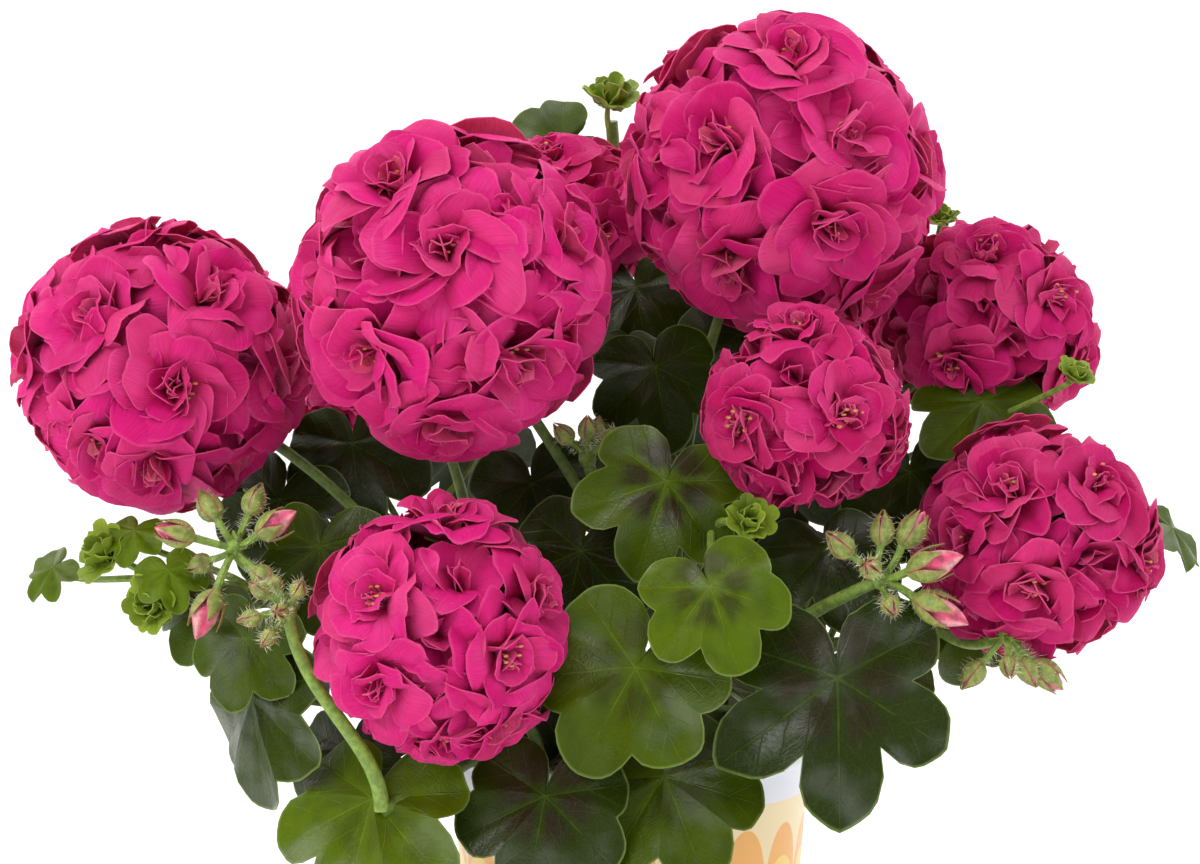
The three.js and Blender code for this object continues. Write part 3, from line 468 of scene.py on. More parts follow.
def leaf_material():
    """Waxy lobed leaves: sunk main and side veins, a fine net, a brown zone and a pale rim."""
    n = Look("leaf")
    x, y, rho = n.split(n.vector("leaf"))
    tone, zone, side = n.split(n.vector("look"))
    radius = n.math("SQRT", n.add(n.mul(x, x), n.mul(y, y)))
    angle = n.abs(n.math("ARCTAN2", y, x))
    lobe = math.radians(LOBE_ANGLE)
    index = n.math("MINIMUM", n.math("ROUND", n.math("DIVIDE", angle, lobe)), 2.0)
    off = n.abs(n.sub(angle, n.mul(index, lobe)))
    across = n.mul(radius, n.math("SINE", off))
    along = n.mul(radius, n.math("COSINE", off))
    flat = n.vector("leaf")
    wobble = n.noise(flat, 5, 2)
    across = n.add(across, n.mul(n.sub(wobble, 0.5), 0.02))
    width = n.range(along, 0.0, 1.0, 0.017, 0.004, kind="LINEAR")
    main = n.range(n.math("DIVIDE", n.abs(across), width), 1.0, 0.25)
    lean = n.sub(along, n.mul(across, 1.15))
    step = n.math("FRACT", n.add(n.mul(lean, 4.6), n.mul(wobble, 0.35)))
    step = n.abs(n.sub(step, 0.5))
    branch = n.mul(n.range(step, 0.455, 0.5), n.range(rho, 0.98, 0.8))
    net = n.range(n.cells(flat, 17), 0.07, 0.0)
    vein = n.math("MAXIMUM", main, n.mul(branch, 0.55))
    young = n.range(tone, 1.0, 2.0, kind="LINEAR")
    patch = n.noise(flat, 2.3, 3)
    # Tone darkens the green: partly each leaf's own colour, partly painted shade on the leaves deep
    # inside the plant.
    green = n.mix(tone, (0.008, 0.015, 0.0), (0.100, 0.160, 0.001))
    green = n.mix(n.mul(n.range(patch, 0.35, 0.75), 0.4), green, (0.018, 0.036, 0.001))
    brown = n.mul(n.range(radius, 0.08, 0.22), n.range(radius, 0.56, 0.34))
    brown = n.mul(brown, n.range(n.add(off, n.mul(wobble, 0.3)), 0.2, 0.45))
    brown = n.mul(brown, n.mul(zone, 0.85))
    green = n.mix(brown, green, (0.020, 0.009, 0.006))
    green = n.mix(n.mul(net, 0.12), green, (0.09, 0.15, 0.010))
    green = n.mix(n.mul(vein, 0.4), green, n.mix(tone, (0.065, 0.105, 0.008), (0.20, 0.28, 0.025)))
    green = n.mix(n.mul(n.range(rho, 0.965, 0.995), 0.6), green, (0.18, 0.25, 0.06))
    under = n.mix(n.mul(vein, 0.6), (0.048, 0.064, 0.018), (0.10, 0.14, 0.045))
    green = n.mix(young, green, (0.30, 0.40, 0.04))
    n.set("Base Color", n.mix(side, green, under))
    grain = n.noise(n.place(), 900, 3)
    n.set("Roughness", n.add(n.range(grain, 0.3, 0.7, 0.30, 0.42), n.mul(side, 0.2)))
    n.set("Specular IOR Level", n.range(n.noise(n.place(), 45, 2), 0.46, 0.68, 0.1, 0.6))
    n.scatter(0.06, (0.4, 1.0, 0.2), 0.001)
    low = n.mul(vein, -1.0)
    quilt = n.mul(n.range(n.cells(flat, 17), 0.0, 0.3), 0.2)
    height = n.add(n.add(low, quilt), n.mul(grain, 0.05))
    n.bump(height, 0.6, 0.0005)
    return n.material


def plant_material():
    """Stems, stalks, buds, hairs and stamens: a colour from the piece with fine streaks and grain."""
    n = Look("plant")
    tint = n.vector("tint")
    streak = n.noise(n.place(), 420, 4, 0.6)
    pale = n.mix(1.0, tint, (1.35, 1.3, 1.25), "MULTIPLY")
    dark = n.mix(1.0, tint, (0.62, 0.66, 0.6), "MULTIPLY")
    n.set("Base Color", n.mix(n.range(streak, 0.3, 0.7), dark, pale))
    n.set("Roughness", n.range(streak, 0.3, 0.7, 0.42, 0.6))
    n.scatter(0.12, (1.0, 1.0, 0.4), 0.001)
    n.bump(streak, 0.3, 0.0003)
    return n.material


# Arches of the print, the later ones over the earlier: foot, rise and colour
ARCHES = [(62, 22, (0.78, 0.38, 0.08)), (56, 17, (0.80, 0.56, 0.13)), (46, 15, (0.74, 0.24, 0.04))]
ARCH_COUNT = 18


def pot_material():
    """Glossy print: a cool white band under the rim, warm cream below it, and rows of plain arches."""
    n = Look("pot")
    x, y, z = n.split(n.place())
    angle = n.math("ARCTAN2", y, x)
    turn = n.math("FRACT", n.mul(n.add(angle, math.pi), ARCH_COUNT / (2 * math.pi)))
    wide = n.mul(n.abs(n.sub(turn, 0.5)), 2.0)
    arch = n.math("SQRT", n.math("SUBTRACT", 1.0, n.mul(wide, wide), clamp=True))
    height = n.math("DIVIDE", z, 0.001)
    # Painted shade: the cream grows darker towards the bottom of the pot.
    colour = n.mix(n.range(height, 20, 98), (0.66, 0.50, 0.27), (0.80, 0.66, 0.38))
    for foot, rise, paint in ARCHES:
        inside = n.sub(n.add(foot, n.mul(arch, rise)), height)
        colour = n.mix(n.range(inside, -0.25, 0.25), colour, paint)
    colour = n.mix(n.range(height, 91.5, 92.0), colour, (0.70, 0.72, 0.78))
    cloud = n.noise(n.place(), 30, 3)
    colour = n.mix(n.mul(n.range(cloud, 0.4, 0.8), 0.10), colour, (0.7, 0.6, 0.42))
    n.set("Base Color", colour)
    n.set("Roughness", n.range(n.noise(n.place(), 500, 3), 0.3, 0.7, 0.28, 0.40))
    n.set("Coat Weight", 0.15)
    n.bump(n.noise(n.place(), 1400, 2), 0.06, 0.0003)
    return n.material


def soil_material():
    """Dark moist potting mix; the tint sets each crumb apart."""
    n = Look("soil")
    tint = n.vector("tint")
    grain = n.noise(n.place(), 700, 5, 0.7)
    colour = n.mix(n.range(grain, 0.3, 0.75), n.mix(1.0, tint, (0.45, 0.42, 0.4), "MULTIPLY"), tint)
    n.set("Base Color", colour)
    n.set("Roughness", n.range(grain, 0.3, 0.7, 0.75, 0.98))
    n.bump(grain, 0.8, 0.0012)
    return n.material


PETAL = petal_material()
LEAF = leaf_material()
PLANT = plant_material()
POT = pot_material()
SOIL = soil_material()

GREEN_STEM = (0.093, 0.162, 0.017)
DARK_STEM = (0.051, 0.072, 0.017)
PALE_STALK = (0.187, 0.297, 0.043)
BUD_GREEN = (0.162, 0.246, 0.03)
BUD_PALE = (0.357, 0.442, 0.119)
BUD_PINK = (0.561, 0.051, 0.145)
BUD_WHITE = (0.731, 0.442, 0.425)
BUD_BLUSH = (0.383, 0.085, 0.102)
SEPAL = (0.17, 0.204, 0.043)
HAIR = (0.75, 0.76, 0.60)
ANTHER = (0.50, 0.22, 0.06)
FILAMENT = (0.80, 0.35, 0.50)

# ---- Shoots

STEM_RING = 10
TWIG_STEPS = 12
PETIOLE_POINTS = 14
STALK_POINTS = 22
STEMS = {name: points for name, points, _ in SHOOTS}
JOINTS = {name: spaced(points, STEM_STEPS) for name, points in STEMS.items()}


def stem_point(shoot, along):
    joints = JOINTS[shoot]
    step = min(STEM_STEPS - 1, int(along * STEM_STEPS))
    share = along * STEM_STEPS - step
    return joints[step] * (1 - share) + joints[step + 1] * share


def petiole_start(shoot, place, face):
    """The point of the stem that suits a leaf best, and how far it is from that."""
    target, normal = np.array(place, float), facing(*face)
    found = []
    for k in range(17):
        point = stem_point(shoot, 0.2 + 0.05 * k)
        short = max(0, PETIOLE_LENGTH * 0.45 - np.dot(target - point, normal))
        low = max(0, POT_HEIGHT + RIM_CLEARANCE - point[2])
        miss = abs(np.linalg.norm(point - target) - PETIOLE_LENGTH) + 2 * (short + low)
        found.append((miss, k, point))
    miss, _, point = min(found)
    return point, miss


def leaf_rows():
    """Every leaf: the ones placed one by one, then the tiers round the rest of the plant."""
    rows = []
    for k, (shoot, place, face, spin, size, cut, tone, zone) in enumerate(LEAVES):
        fine = size >= FINE_LEAF_SIZE
        rows.append((shoot, place, face, spin, size, cut, k * 31 + 7, fine, tone, zone))
    for tier, (height, radius, elevation, size, first, last, count) in enumerate(LEAF_TIERS):
        for k in range(count):
            seed = 1000 + tier * 100 + k * 7
            azimuth = first + (last - first) * (k + 0.5) / count
            out = facing(azimuth, 0)
            stagger = TIER_STAGGER if k % 2 else -TIER_STAGGER
            reach = radius + stagger + TIER_JITTER * (2 * draw(seed) - 1)
            place = [out[0] * reach, out[1] * reach, height + TIER_JITTER * (2 * draw(seed + 1) - 1)]
            face = [azimuth + 16 * (draw(seed + 2) - 0.5), elevation + 14 * (draw(seed + 3) - 0.5)]
            misses = [petiole_start(name, place, face)[1] for name in STEMS]
            shoot = list(STEMS)[misses.index(min(misses))]
            spin, full = 40 * (draw(seed + 4) - 0.5), size * (0.9 + 0.2 * draw(seed + 5))
            cut, tone = 0.2 + 0.5 * draw(seed + 6), 0.2 + 0.4 * draw(seed + 7)
            rows.append((shoot, place, face, spin, full, cut, seed, False, tone, 0.5))
    return rows


def leaf_outline(cut, fine):
    half = []
    for k, length in enumerate(LOBE_LENGTHS):
        centre = k * LOBE_ANGLE
        shoulder = length * (0.97 - 0.1 * cut)
        if fine and k == 1:
            half.append([centre - SHOULDER_ANGLE, shoulder, -0.4])
        half.append([centre, length, -1])
        if fine:
            half.append([centre + SHOULDER_ANGLE, shoulder, -0.4])
        if k < 2:
            half.append([centre + LOBE_ANGLE / 2, length * (0.82 - 0.3 * cut), 1])
    half.append([160, 0.5, 0.4])
    other = [[360 - angle, length, pleat] for angle, length, pleat in half[:0:-1]]
    return [*half, [180, 0.1, 0], *other]


def round_curve(angles, knots, values):
    """A smooth periodic curve through values at knots, which never overshoots them."""
    x = np.concatenate([knots[-1:] - 360, knots, knots[:2] + 360])
    v = np.concatenate([values[-1:], values, values[:2]])
    h, slope = np.diff(x), np.diff(v) / np.diff(x)
    m = np.zeros(len(x))
    both = slope[:-1] * slope[1:] > 0
    m[1:-1][both] = 2 * slope[:-1][both] * slope[1:][both] / (slope[:-1] + slope[1:])[both]
    k = np.clip(np.searchsorted(x, angles, side="right") - 1, 0, len(x) - 2)
    s = (angles - x[k]) / h[k]
    return ((2 * s**3 - 3 * s**2 + 1) * v[k] + (s**3 - 2 * s**2 + s) * h[k] * m[k]
            + (3 * s**2 - 2 * s**3) * v[k + 1] + (s**3 - s**2) * h[k] * m[k + 1])


# How full the rim is above a notch, an ear and the sinus
RIM_FULLNESS = {1: 2.7, 0.4: 2.2, 0: 1.5}


def rim_lengths(angles, knots, share, pleat):
    """The rim's reach: round lobes that meet in sharp notches."""
    main = pleat != -0.4
    x = np.append(knots[main], 360)
    v = np.append(share[main], share[0])
    kind = np.append(pleat[main], pleat[0])
    k = np.clip(np.searchsorted(x, angles, side="right") - 1, 0, len(x) - 2)
    s = (angles - x[k]) / (x[k + 1] - x[k])
    falling = v[k] > v[k + 1]
    high, low = np.maximum(v[k], v[k + 1]), np.minimum(v[k], v[k + 1])
    low_kind = np.where(falling, kind[k + 1], kind[k])
    power = np.select([low_kind == key for key in RIM_FULLNESS], list(RIM_FULLNESS.values()))
    return high - (high - low) * np.where(falling, s, 1 - s) ** power


LEAF_RINGS = np.array([0.03, 0.1, 0.2, 0.32, 0.46, 0.6, 0.73, 0.85, 0.94, 1.0])
YOUNG_RINGS = np.array([0.08, 0.35, 0.65, 0.9, 1.0])
LEAF_HALF = 0.36  # half of a blade's thickness
# Degrees between a blade's rim points
FINE_STEP, PLAIN_STEP, YOUNG_STEP = 4.6, 6.5, 11


def leaf_axes(face, spin):
    """A blade's normal, the direction of its middle lobe, and the one beside it."""
    normal, down = facing(*face), facing(face[0], face[1] - 90)
    right = np.cross(normal, down)
    turn = math.radians(spin)
    return normal, around(down, right, turn), around(right, -down, turn)


def blade(mesh, place, axes, size, cut, fine, seed, tone, zone, step,
          rings=LEAF_RINGS, droop=DROOP, pale=1):
    """A lobed blade with sunk main veins, a drooping waved rim and round lobes."""
    normal, middle, side = axes
    outline = leaf_outline(cut, fine)
    knots = np.array([row[0] for row in outline], float)
    share = np.array([row[1] for row in outline])
    share = share * (1 + RIM_VARIATION * (np.array([draw(seed + k) for k in range(len(outline))]) - 0.5))
    pleat = np.array([row[2] for row in outline])
    steps = [np.linspace(a, b, max(2, round((b - a) / step)), endpoint=False)
             for a, b in zip(knots, np.append(knots[1:], 360))]
    angles = np.concatenate(steps)
    lobe = np.array([0, 1, 2, -2, -1]) * LOBE_ANGLE % 360
    away = np.abs((angles[:, None] - lobe[None] + 180) % 360 - 180).min(1)
    wave = [draw(seed + 60 + k) for k in range(6)]
    radial = np.radians(angles)
    point = 0.012 + 0.10 * max(0, cut - 0.5)
    length = rim_lengths(angles, knots, share, pleat) + point * np.exp(-((away / 5) ** 2))
    length += 0.008 * np.sin(11 * radial + 6 * wave[0]) + 0.005 * np.sin(19 * radial + 6 * wave[1])
    fold = round_curve(angles, knots, pleat)
    rho = rings[:, None]
    reach = size * rho * length[None]
    height = size * (PLEAT * fold * length * rho - droop * length**2 * rho**1.35)
    height -= size * 0.026 * np.exp(-away / 4.0) * np.sqrt(rho) * np.minimum(1, 8 * rho * (1 - 0.6 * rho))
    slow, quick = np.sin(2 * radial + 6 * wave[2]), np.sin(5 * radial + 6 * wave[3])
    height += size * rho**2 * (0.035 * slow + 0.022 * quick)
    height += size * 0.02 * rho**3 * np.sin(11 * radial + 6 * wave[4])
    centre = np.array(place, float)
    sheet = (centre + (reach * np.cos(radial))[..., None] * middle
             + (reach * np.sin(radial))[..., None] * side + height[..., None] * normal)
    rows, columns = reach.shape
    across = (np.roll(sheet, -1, axis=1) - np.roll(sheet, 1, axis=1)) / 2
    out = unit_rows(np.cross(np.gradient(sheet, axis=0), across))
    thin = (LEAF_HALF - 0.2 * rho**6)[..., None]
    upper = np.concatenate([(sheet + out * thin).reshape(-1, 3), [centre + LEAF_HALF * normal]])
    lower = np.concatenate([(sheet - out * thin).reshape(-1, 3), [centre - LEAF_HALF * normal]])
    total = rows * columns
    shift = total + 1
    j = np.arange(columns)
    k = (j + 1) % columns
    fan = np.stack([j, k, np.full(columns, total)], -1)
    a, b = total - columns + j, total - columns + k
    rim = np.concatenate([np.stack([a, b, a + shift], -1), np.stack([b, b + shift, a + shift], -1)])
    top = np.concatenate([grid_faces(rows, columns, closed=True), fan])
    faces = np.concatenate([top, top[:, ::-1] + shift, rim[:, ::-1]])
    plane = np.stack([rho * length * np.cos(radial), rho * length * np.sin(radial),
                      np.broadcast_to(rho, (rows, columns))], -1).reshape(-1, 3)
    plane = np.concatenate([plane, [[0, 0, 0]]])
    plane = np.concatenate([plane, plane])
    look = np.zeros((2 * shift, 3))
    look[:, 0], look[:, 1] = tone, zone
    look[shift:, 2] = pale
    mesh.add(np.concatenate([upper, lower]), faces, leaf=plane, look=look)


def petiole_line(start, place, face):
    normal = facing(*face)
    back = np.array(place, float) - normal * 0.4
    distance = np.linalg.norm(back - start)
    points = [start, start * 0.75 + back * 0.25 + np.array([0, 0, distance * PETIOLE_LIFT]),
              back - normal * distance * PETIOLE_BEND, back]
    return bezier(points, np.linspace(0, 1, PETIOLE_POINTS))


def stalk_line(shoot, along, hub, toward):
    start = stem_point(shoot, along)
    hub = np.array(hub, float)
    reach = np.linalg.norm(hub - start) * 0.4
    points = [start, start + np.array([0, 0, reach * 0.8]), hub + toward * reach, hub]
    return bezier(points, np.linspace(0, 1, STALK_POINTS))


def head_stalk_direction(centre):
    return unit([-centre[0], -centre[1], -100])


def head_hub(centre, radius):
    """Where a head's stalk ends and its flowers' stalks begin."""
    return np.array(centre, float) + head_stalk_direction(centre) * radius * 0.3


ROSETTE_LEAVES, ROSETTE_RING = 9, 4
ROSETTE_LEANS = (0.35, 1.1, 2.6)
ROSETTE_SIZES = (0.62, 0.48, 0.34)


def young_rosette(leaves, base, axis, size, seed):
    """The small cupped leaves of a growing tip."""
    first, second = cross_axes(axis)
    for k in range(ROSETTE_LEAVES):
        ring = k // ROSETTE_RING
        turn = 2 * math.pi * (k / ROSETTE_RING + 0.12 * ring + 0.1 * draw(seed + k))
        out = around(first, second, turn)
        middle = unit(out + axis * ROSETTE_LEANS[ring] * (0.8 + 0.4 * draw(seed + 20 + k)))
        side = unit(np.cross(axis, out))
        normal = np.cross(middle, side)
        reach = size * ROSETTE_SIZES[ring] * (0.85 + 0.3 * draw(seed + 40 + k))
        place = base + middle * reach * 0.42
        tone = 1.2 + 0.8 * draw(seed + k)
        blade(leaves, place, (normal, middle, side), reach, 0.15, False, seed + 3 * k, tone, 0,
              YOUNG_STEP, YOUNG_RINGS, -0.35 - 0.25 * ring, 0.1)


def build_shoot(name, radius, rows):
    """A shoot's stems piece and its leaves piece."""
    stems, leaves = Mesh("tint"), Mesh("leaf", "look")
    line = JOINTS[name]
    parts = [np.linspace(a, b, 5, endpoint=False) for a, b in zip(line, line[1:])]
    fine = np.concatenate(parts + [line[-1:]])
    share = np.linspace(0, 1, len(fine))
    swell = 1 + 0.10 * np.exp(-(((share * 7) % 1 - 0.5) / 0.16) ** 2)
    shade = np.repeat(share, STEM_RING)[:, None]
    tint = np.array(DARK_STEM) * (1 - shade) + np.array(GREEN_STEM) * shade
    girth = radius * (0.97 - 0.22 * share) * swell
    stems.add(*tube(fine, girth, STEM_RING), tint=np.vstack([tint, tint[:1], tint[-1:]]))
    for shoot, place, face, spin, size, cut, seed, full, tone, zone in rows:
        if shoot != name:
            continue
        start, _ = petiole_start(shoot, place, face)
        step = FINE_STEP if full else PLAIN_STEP
        blade(leaves, place, leaf_axes(face, spin), size, cut, full, seed, tone, zone, step)
        stalk = tube(petiole_line(start, place, face), np.linspace(1.45, 1.0, PETIOLE_POINTS), 7)
        # The stalk darkens with its leaf's tone, so it carries the same painted shade on the leaves
        # inside the plant.
        stems.add(*stalk, tint=np.array(PALE_STALK) * (0.6 + 0.4 * tone))
    for shoot, along, place, direction, size in TIPS:
        if shoot != name:
            continue
        base, axis = np.array(place, float), unit(direction)
        start = stem_point(shoot, along)
        bend = start * 0.65 + base * 0.35 + np.array([0, 0, 3])
        twig = bezier([start, bend, base - axis * size * 0.6, base], np.linspace(0, 1, TWIG_STEPS))
        stems.add(*tube(twig, np.linspace(1.5, 0.9, TWIG_STEPS), 7), tint=PALE_STALK)
        young_rosette(leaves, base, axis, size, 500 + int(size * 7 + along * 10))
    for shoot, curve, pale in STALKS:
        if shoot == name:
            ends, tint = ((2.5, 2.0), PALE_STALK) if pale else ((2.1, 1.7), GREEN_STEM)
            stems.add(*tube(curve, np.linspace(*ends, len(curve)), 9), tint=tint)
    stems.piece(name + "_stems", PLANT, "leaf", [name])
    leaves.piece(name + "_leaves", LEAF, "leaf", [name])


STALKS = []
for _, centre, radius, shoot, along, _ in HEADS:
    toward = head_stalk_direction(centre)
    STALKS.append((shoot, stalk_line(shoot, along, head_hub(centre, radius), toward), False))
for _, hub, toward, shoot, along, _ in BUDS:
    STALKS.append((shoot, stalk_line(shoot, along, hub, unit(toward)), True))

# ---- Flower heads

AXIS_TRIES = 90
GAP_TRIES = 600
GOLDEN_ANGLE = 2.39996
STALK_CLEARANCE = 34


def spiral(count):
    """Directions spread evenly over a sphere."""
    z = 1 - (2 * np.arange(count) + 1) / count
    turn = np.arange(count) * GOLDEN_ANGLE
    ring = np.sqrt(1 - z * z)
    return np.stack([ring * np.cos(turn), ring * np.sin(turn), z], -1)


def apart(directions, others):
    """The angle between each direction and the nearest of the others."""
    return np.arccos(np.clip(np.asarray(directions) @ np.asarray(others).T, -1, 1)).min(-1)


def flower_spacing(radius):
    return 2 * math.asin(min(1, 0.98 * FLOWER_RADIUS / radius))


def flower_axes(centre, radius, given):
    spacing = flower_spacing(radius)
    stalk = [head_stalk_direction(centre)]
    axes = [facing(*angles) for angles in given]
    for axis in spiral(AXIS_TRIES):
        clear = not axes or apart(axis, axes) > spacing
        if clear and apart(axis, stalk) > math.radians(STALK_CLEARANCE):
            axes.append(axis)
    return axes


# Whorls: petals, length, half width, angles from the axis at foot and tip, channel, ruffle, lift,
# largest twist to one side and to the other
WHORLS = [
    (7, 30.5, 12.0, 46, 112, -0.50, 1.8, 0, 28, -2),
    (6, 25.0, 10.8, 34, 92, -0.40, 2.2, 1.0, 36, 14),
    (5, 17.5, 8.0, 18, 66, 0.50, 2.4, 2.0, 50, 44),
    (5, 13.0, 4.4, 0, 44, 1.1, 1.6, 2.4, 70, 70),
]
FILL_WHORLS = [(5, 24, 11.5, 26, 88, -0.5, 2.0, 0, 30, 10), (3, 16, 6.5, 6, 50, 0.9, 1.8, 1, 60, 60)]
# Tones of the heads that are lighter or darker than the rest: partly their own colour, partly painted
# light on lit heads and painted shade on shaded ones
HEAD_TONES = {"head_left": 0.7, "head_centre_left": 0.7, "head_back_centre": 0.45,
              "head_centre": 0.2, "head_low_right": 0.2, "head_low_left": 0.65}
LAYER_STEP = 2.0
RANK_RISE = 2.2
PETAL_THICKNESS = 0.34
FULL_HEAD_RADIUS = 48
LEAST_SCALE = 0.76
FLOWER_DEPTH = 15.8
FAR_APART = 1.75  # distance of two flowers' axes on a unit sphere
FRONT_GRIDS = [(8, 10), (7, 8), (5, 6), (4, 4)]
BACK_GRIDS = [(5, 6), (4, 5), (4, 4), (3, 3)]
FILL_GRIDS = [(5, 6), (4, 4)]


def petal_sheet(length, width, angles, channel, ruffle, roll, rng, rows, columns):
    """One petal as a grid of points in its flower's frame: outwards, sideways, along the axis."""
    t = np.linspace(0, 1, rows + 1)[:, None] ** 0.9
    u = np.linspace(-1, 1, columns + 1)[None]
    phase = rng.uniform(0, 2 * np.pi, 5)
    notch = rng.uniform(-0.02, 0.05)
    tip = 1 - 0.36 * np.abs(u) ** 2.4 - notch * np.exp(-((u - 0.1) / 0.3) ** 2)
    tip = tip + 0.018 * np.sin(4.5 * u + phase[0]) + 0.01 * np.sin(7.5 * u + phase[1])
    reach = t * tip
    fine = np.linspace(0, 1, 33)
    bend = angles[0] + (angles[1] - angles[0]) * fine ** rng.uniform(0.8, 1.5)
    out = np.concatenate([[0], np.cumsum((np.sin(bend[1:]) + np.sin(bend[:-1])) / 2)]) * length / 32
    up = np.concatenate([[0], np.cumsum((np.cos(bend[1:]) + np.cos(bend[:-1])) / 2)]) * length / 32
    x, z, angle = np.interp(reach, fine, out), np.interp(reach, fine, up), np.interp(reach, fine, bend)
    swell = 0.13 + 0.87 * np.sin(np.pi / 2 * np.clip(t / 0.84, 0, 1)) ** 1.15
    swell = swell - 0.06 * np.clip(t - 0.84, 0, 1) / 0.16
    half = width * swell
    wide = half * np.sin(channel * u) / channel
    rise = half * (1 - np.cos(channel * u)) / channel
    slow, quick = np.sin(2.8 * u + phase[2] + t), np.sin(5.6 * u + phase[3] + 2 * t)
    rise = rise + ruffle * t**1.8 * (0.6 * slow + 0.4 * quick)
    rise = rise + ruffle * 0.5 * np.sin(np.pi * t) * np.sin(2 * u + phase[4])
    sideways = wide * math.cos(roll)
    rise = rise + wide * math.sin(roll)
    x = x - rise * np.cos(angle)
    z = z + rise * np.sin(angle)
    return np.stack([x, sideways, z], -1), np.broadcast_to(u, x.shape), np.broadcast_to(t, x.shape)


def gap_axes(axes, centre, radius):
    """Directions of the widest gaps between a head's flowers."""
    field = spiral(GAP_TRIES)
    field = field[apart(field, [head_stalk_direction(centre)]) > math.radians(STALK_CLEARANCE - 6)]
    gaps = []
    while True:
        distance = apart(field, axes + gaps)
        best = int(distance.argmax())
        if distance[best] < min(0.5 * flower_spacing(radius), 0.5):
            return gaps
        gaps.append(field[best])


def crowd(points, axis, rank, others, radius):
    """A petal lies over or under a neighbour's where they meet, and gives way beyond that."""
    for other, other_rank in others:
        away = axis - other
        size = np.linalg.norm(away)
        if size > FAR_APART:
            continue
        past = -(points @ away) / size
        over = math.tanh(1.5 * (rank - other_rank))
        meet = np.clip((past + 6) / 9, 0, 1)[..., None]
        push = np.maximum(0, past - 5 - 3.5 * over)[..., None] * 0.7
        lift = 0.4 * push + LAYER_STEP * over * meet**2 * (3 - 2 * meet)
        points = points + push * away / size + lift * axis
    reach = np.linalg.norm(points, axis=-1, keepdims=True)
    limit = (0.995 + 0.015 * rank - 0.5 * (1 - points @ axis / reach[..., 0]))[..., None] * radius
    return points * np.where(reach > limit, limit + 0.4 * (reach - limit), reach) / reach


def build_flower(petals, centre, axis, rank, others, radius, depth, scale, whorls, grids,
                 tone, rng):
    """One double flower: whorls of petals, wider and flatter outwards."""
    first, second = cross_axes(axis)
    base = axis * (radius - depth + RANK_RISE * rank)
    start = rng.uniform(0, 2 * np.pi)
    tone = tone + rng.uniform(-0.15, 0.15)
    open_angle = rng.uniform(-10, 8)
    tilt = (first * rng.uniform(-1, 1) + second * rng.uniform(-1, 1)) * 0.3
    for whorl, grid in zip(whorls, grids):
        count, length, width, low, high, channel, ruffle, lift, twist, untwist = whorl
        start += rng.uniform(0.35, 0.7)
        for k in range(count):
            turn = start + 2 * np.pi * (k + rng.uniform(-0.25, 0.25)) / count
            foot = low + rng.uniform(-8, 8)
            angles = np.radians([foot, high + rng.uniform(-22 - 14 * lift, 14) + open_angle])
            bowl = channel * rng.uniform(0.3, 1.6) * (1 if rng.random() < 0.72 else -1)
            sheet, u, t = petal_sheet(
                scale * length * rng.uniform(0.86, 1.08), scale * width * rng.uniform(0.78, 1.2),
                angles, bowl, ruffle * rng.uniform(0.5, 1.4),
                math.radians(rng.uniform(-untwist, twist)), rng, *grid)
            out = around(first, second, turn)
            up = unit(axis + tilt)
            x, y, z = (sheet[..., k:k + 1] for k in range(3))
            points = base + axis * lift + x * out + y * np.cross(up, out) + z * up
            points = crowd(points, axis, rank + rng.uniform(-0.7, 0.7), others, radius)
            points, faces, back = shell(points, PETAL_THICKNESS)
            values = np.stack([u.ravel(), t.ravel()], -1)
            values = np.concatenate([np.vstack([values, values]), back[:, None]], 1)
            salmon = rng.random() ** 2 * (0.9 if width < 5 else 0.25)
            look = np.array([np.clip(tone + rng.uniform(-0.25, 0.25), 0, 1), rng.random(), salmon])
            petals.add(centre + points, faces, petal=values, look=look)
    return base


def build_head(name, centre, radius, given, index):
    """A head of double flowers: a petals piece, and a piece of its stalks, sepals and stamens."""
    petals, greens = Mesh("petal", "look"), Mesh("tint")
    axes = flower_axes(centre, radius, given)
    centre = np.array(centre, float)
    hub = head_hub(centre, radius)
    scale = max(LEAST_SCALE, radius / FULL_HEAD_RADIUS)
    depth = FLOWER_DEPTH * scale
    tone = HEAD_TONES.get(name, 0.5)
    ranks = np.random.default_rng(300 + index).uniform(-1, 1, len(axes))
    for flower, axis in enumerate(axes):
        rng = np.random.default_rng(1000 * index + flower)
        others = [(other, ranks[k]) for k, other in enumerate(axes) if k != flower]
        seen = axis[1] < 0.3 and "_back_" not in name
        grids = FRONT_GRIDS if seen else BACK_GRIDS
        base = build_flower(petals, centre, axis, ranks[flower], others, radius, depth, scale,
                            WHORLS, grids, tone, rng)
        add_calyx(greens, centre, base, axis, hub, rng)
        add_stamens(greens, centre + base, axis, rng, rng.integers(4, 9) if seen else 3)
    for gap, axis in enumerate(gap_axes(axes, centre, radius)):
        rng = np.random.default_rng(1000 * index + 500 + gap)
        base = build_flower(petals, centre, axis, 0, [], radius * 0.97, depth + 2, scale,
                            FILL_WHORLS, FILL_GRIDS, tone, rng)
        add_stalk(greens, centre, base, axis, hub)
    petals.piece(name + "_petals", PETAL, "petal", [name])
    greens.piece(name + "_stalks", PLANT, "petal", [name])


def add_stalk(mesh, centre, base, axis, hub):
    """The stalk of one flower, from the head's hub to the flower's foot."""
    end = centre + base
    line = bezier([hub, hub + (centre - hub) * 0.4, end - axis * 7, end], np.linspace(0, 1, 6))
    mesh.add(*tube(line, np.linspace(0.9, 1.3, 6), 5), tint=np.array(PALE_STALK) * 0.8)


CALYX_SHAPE = (9, 2.1, 0.12, 0.86, 0.6)
BRACT_SHAPE = (6, 1.3, 0.2, 0.78, 0.4)


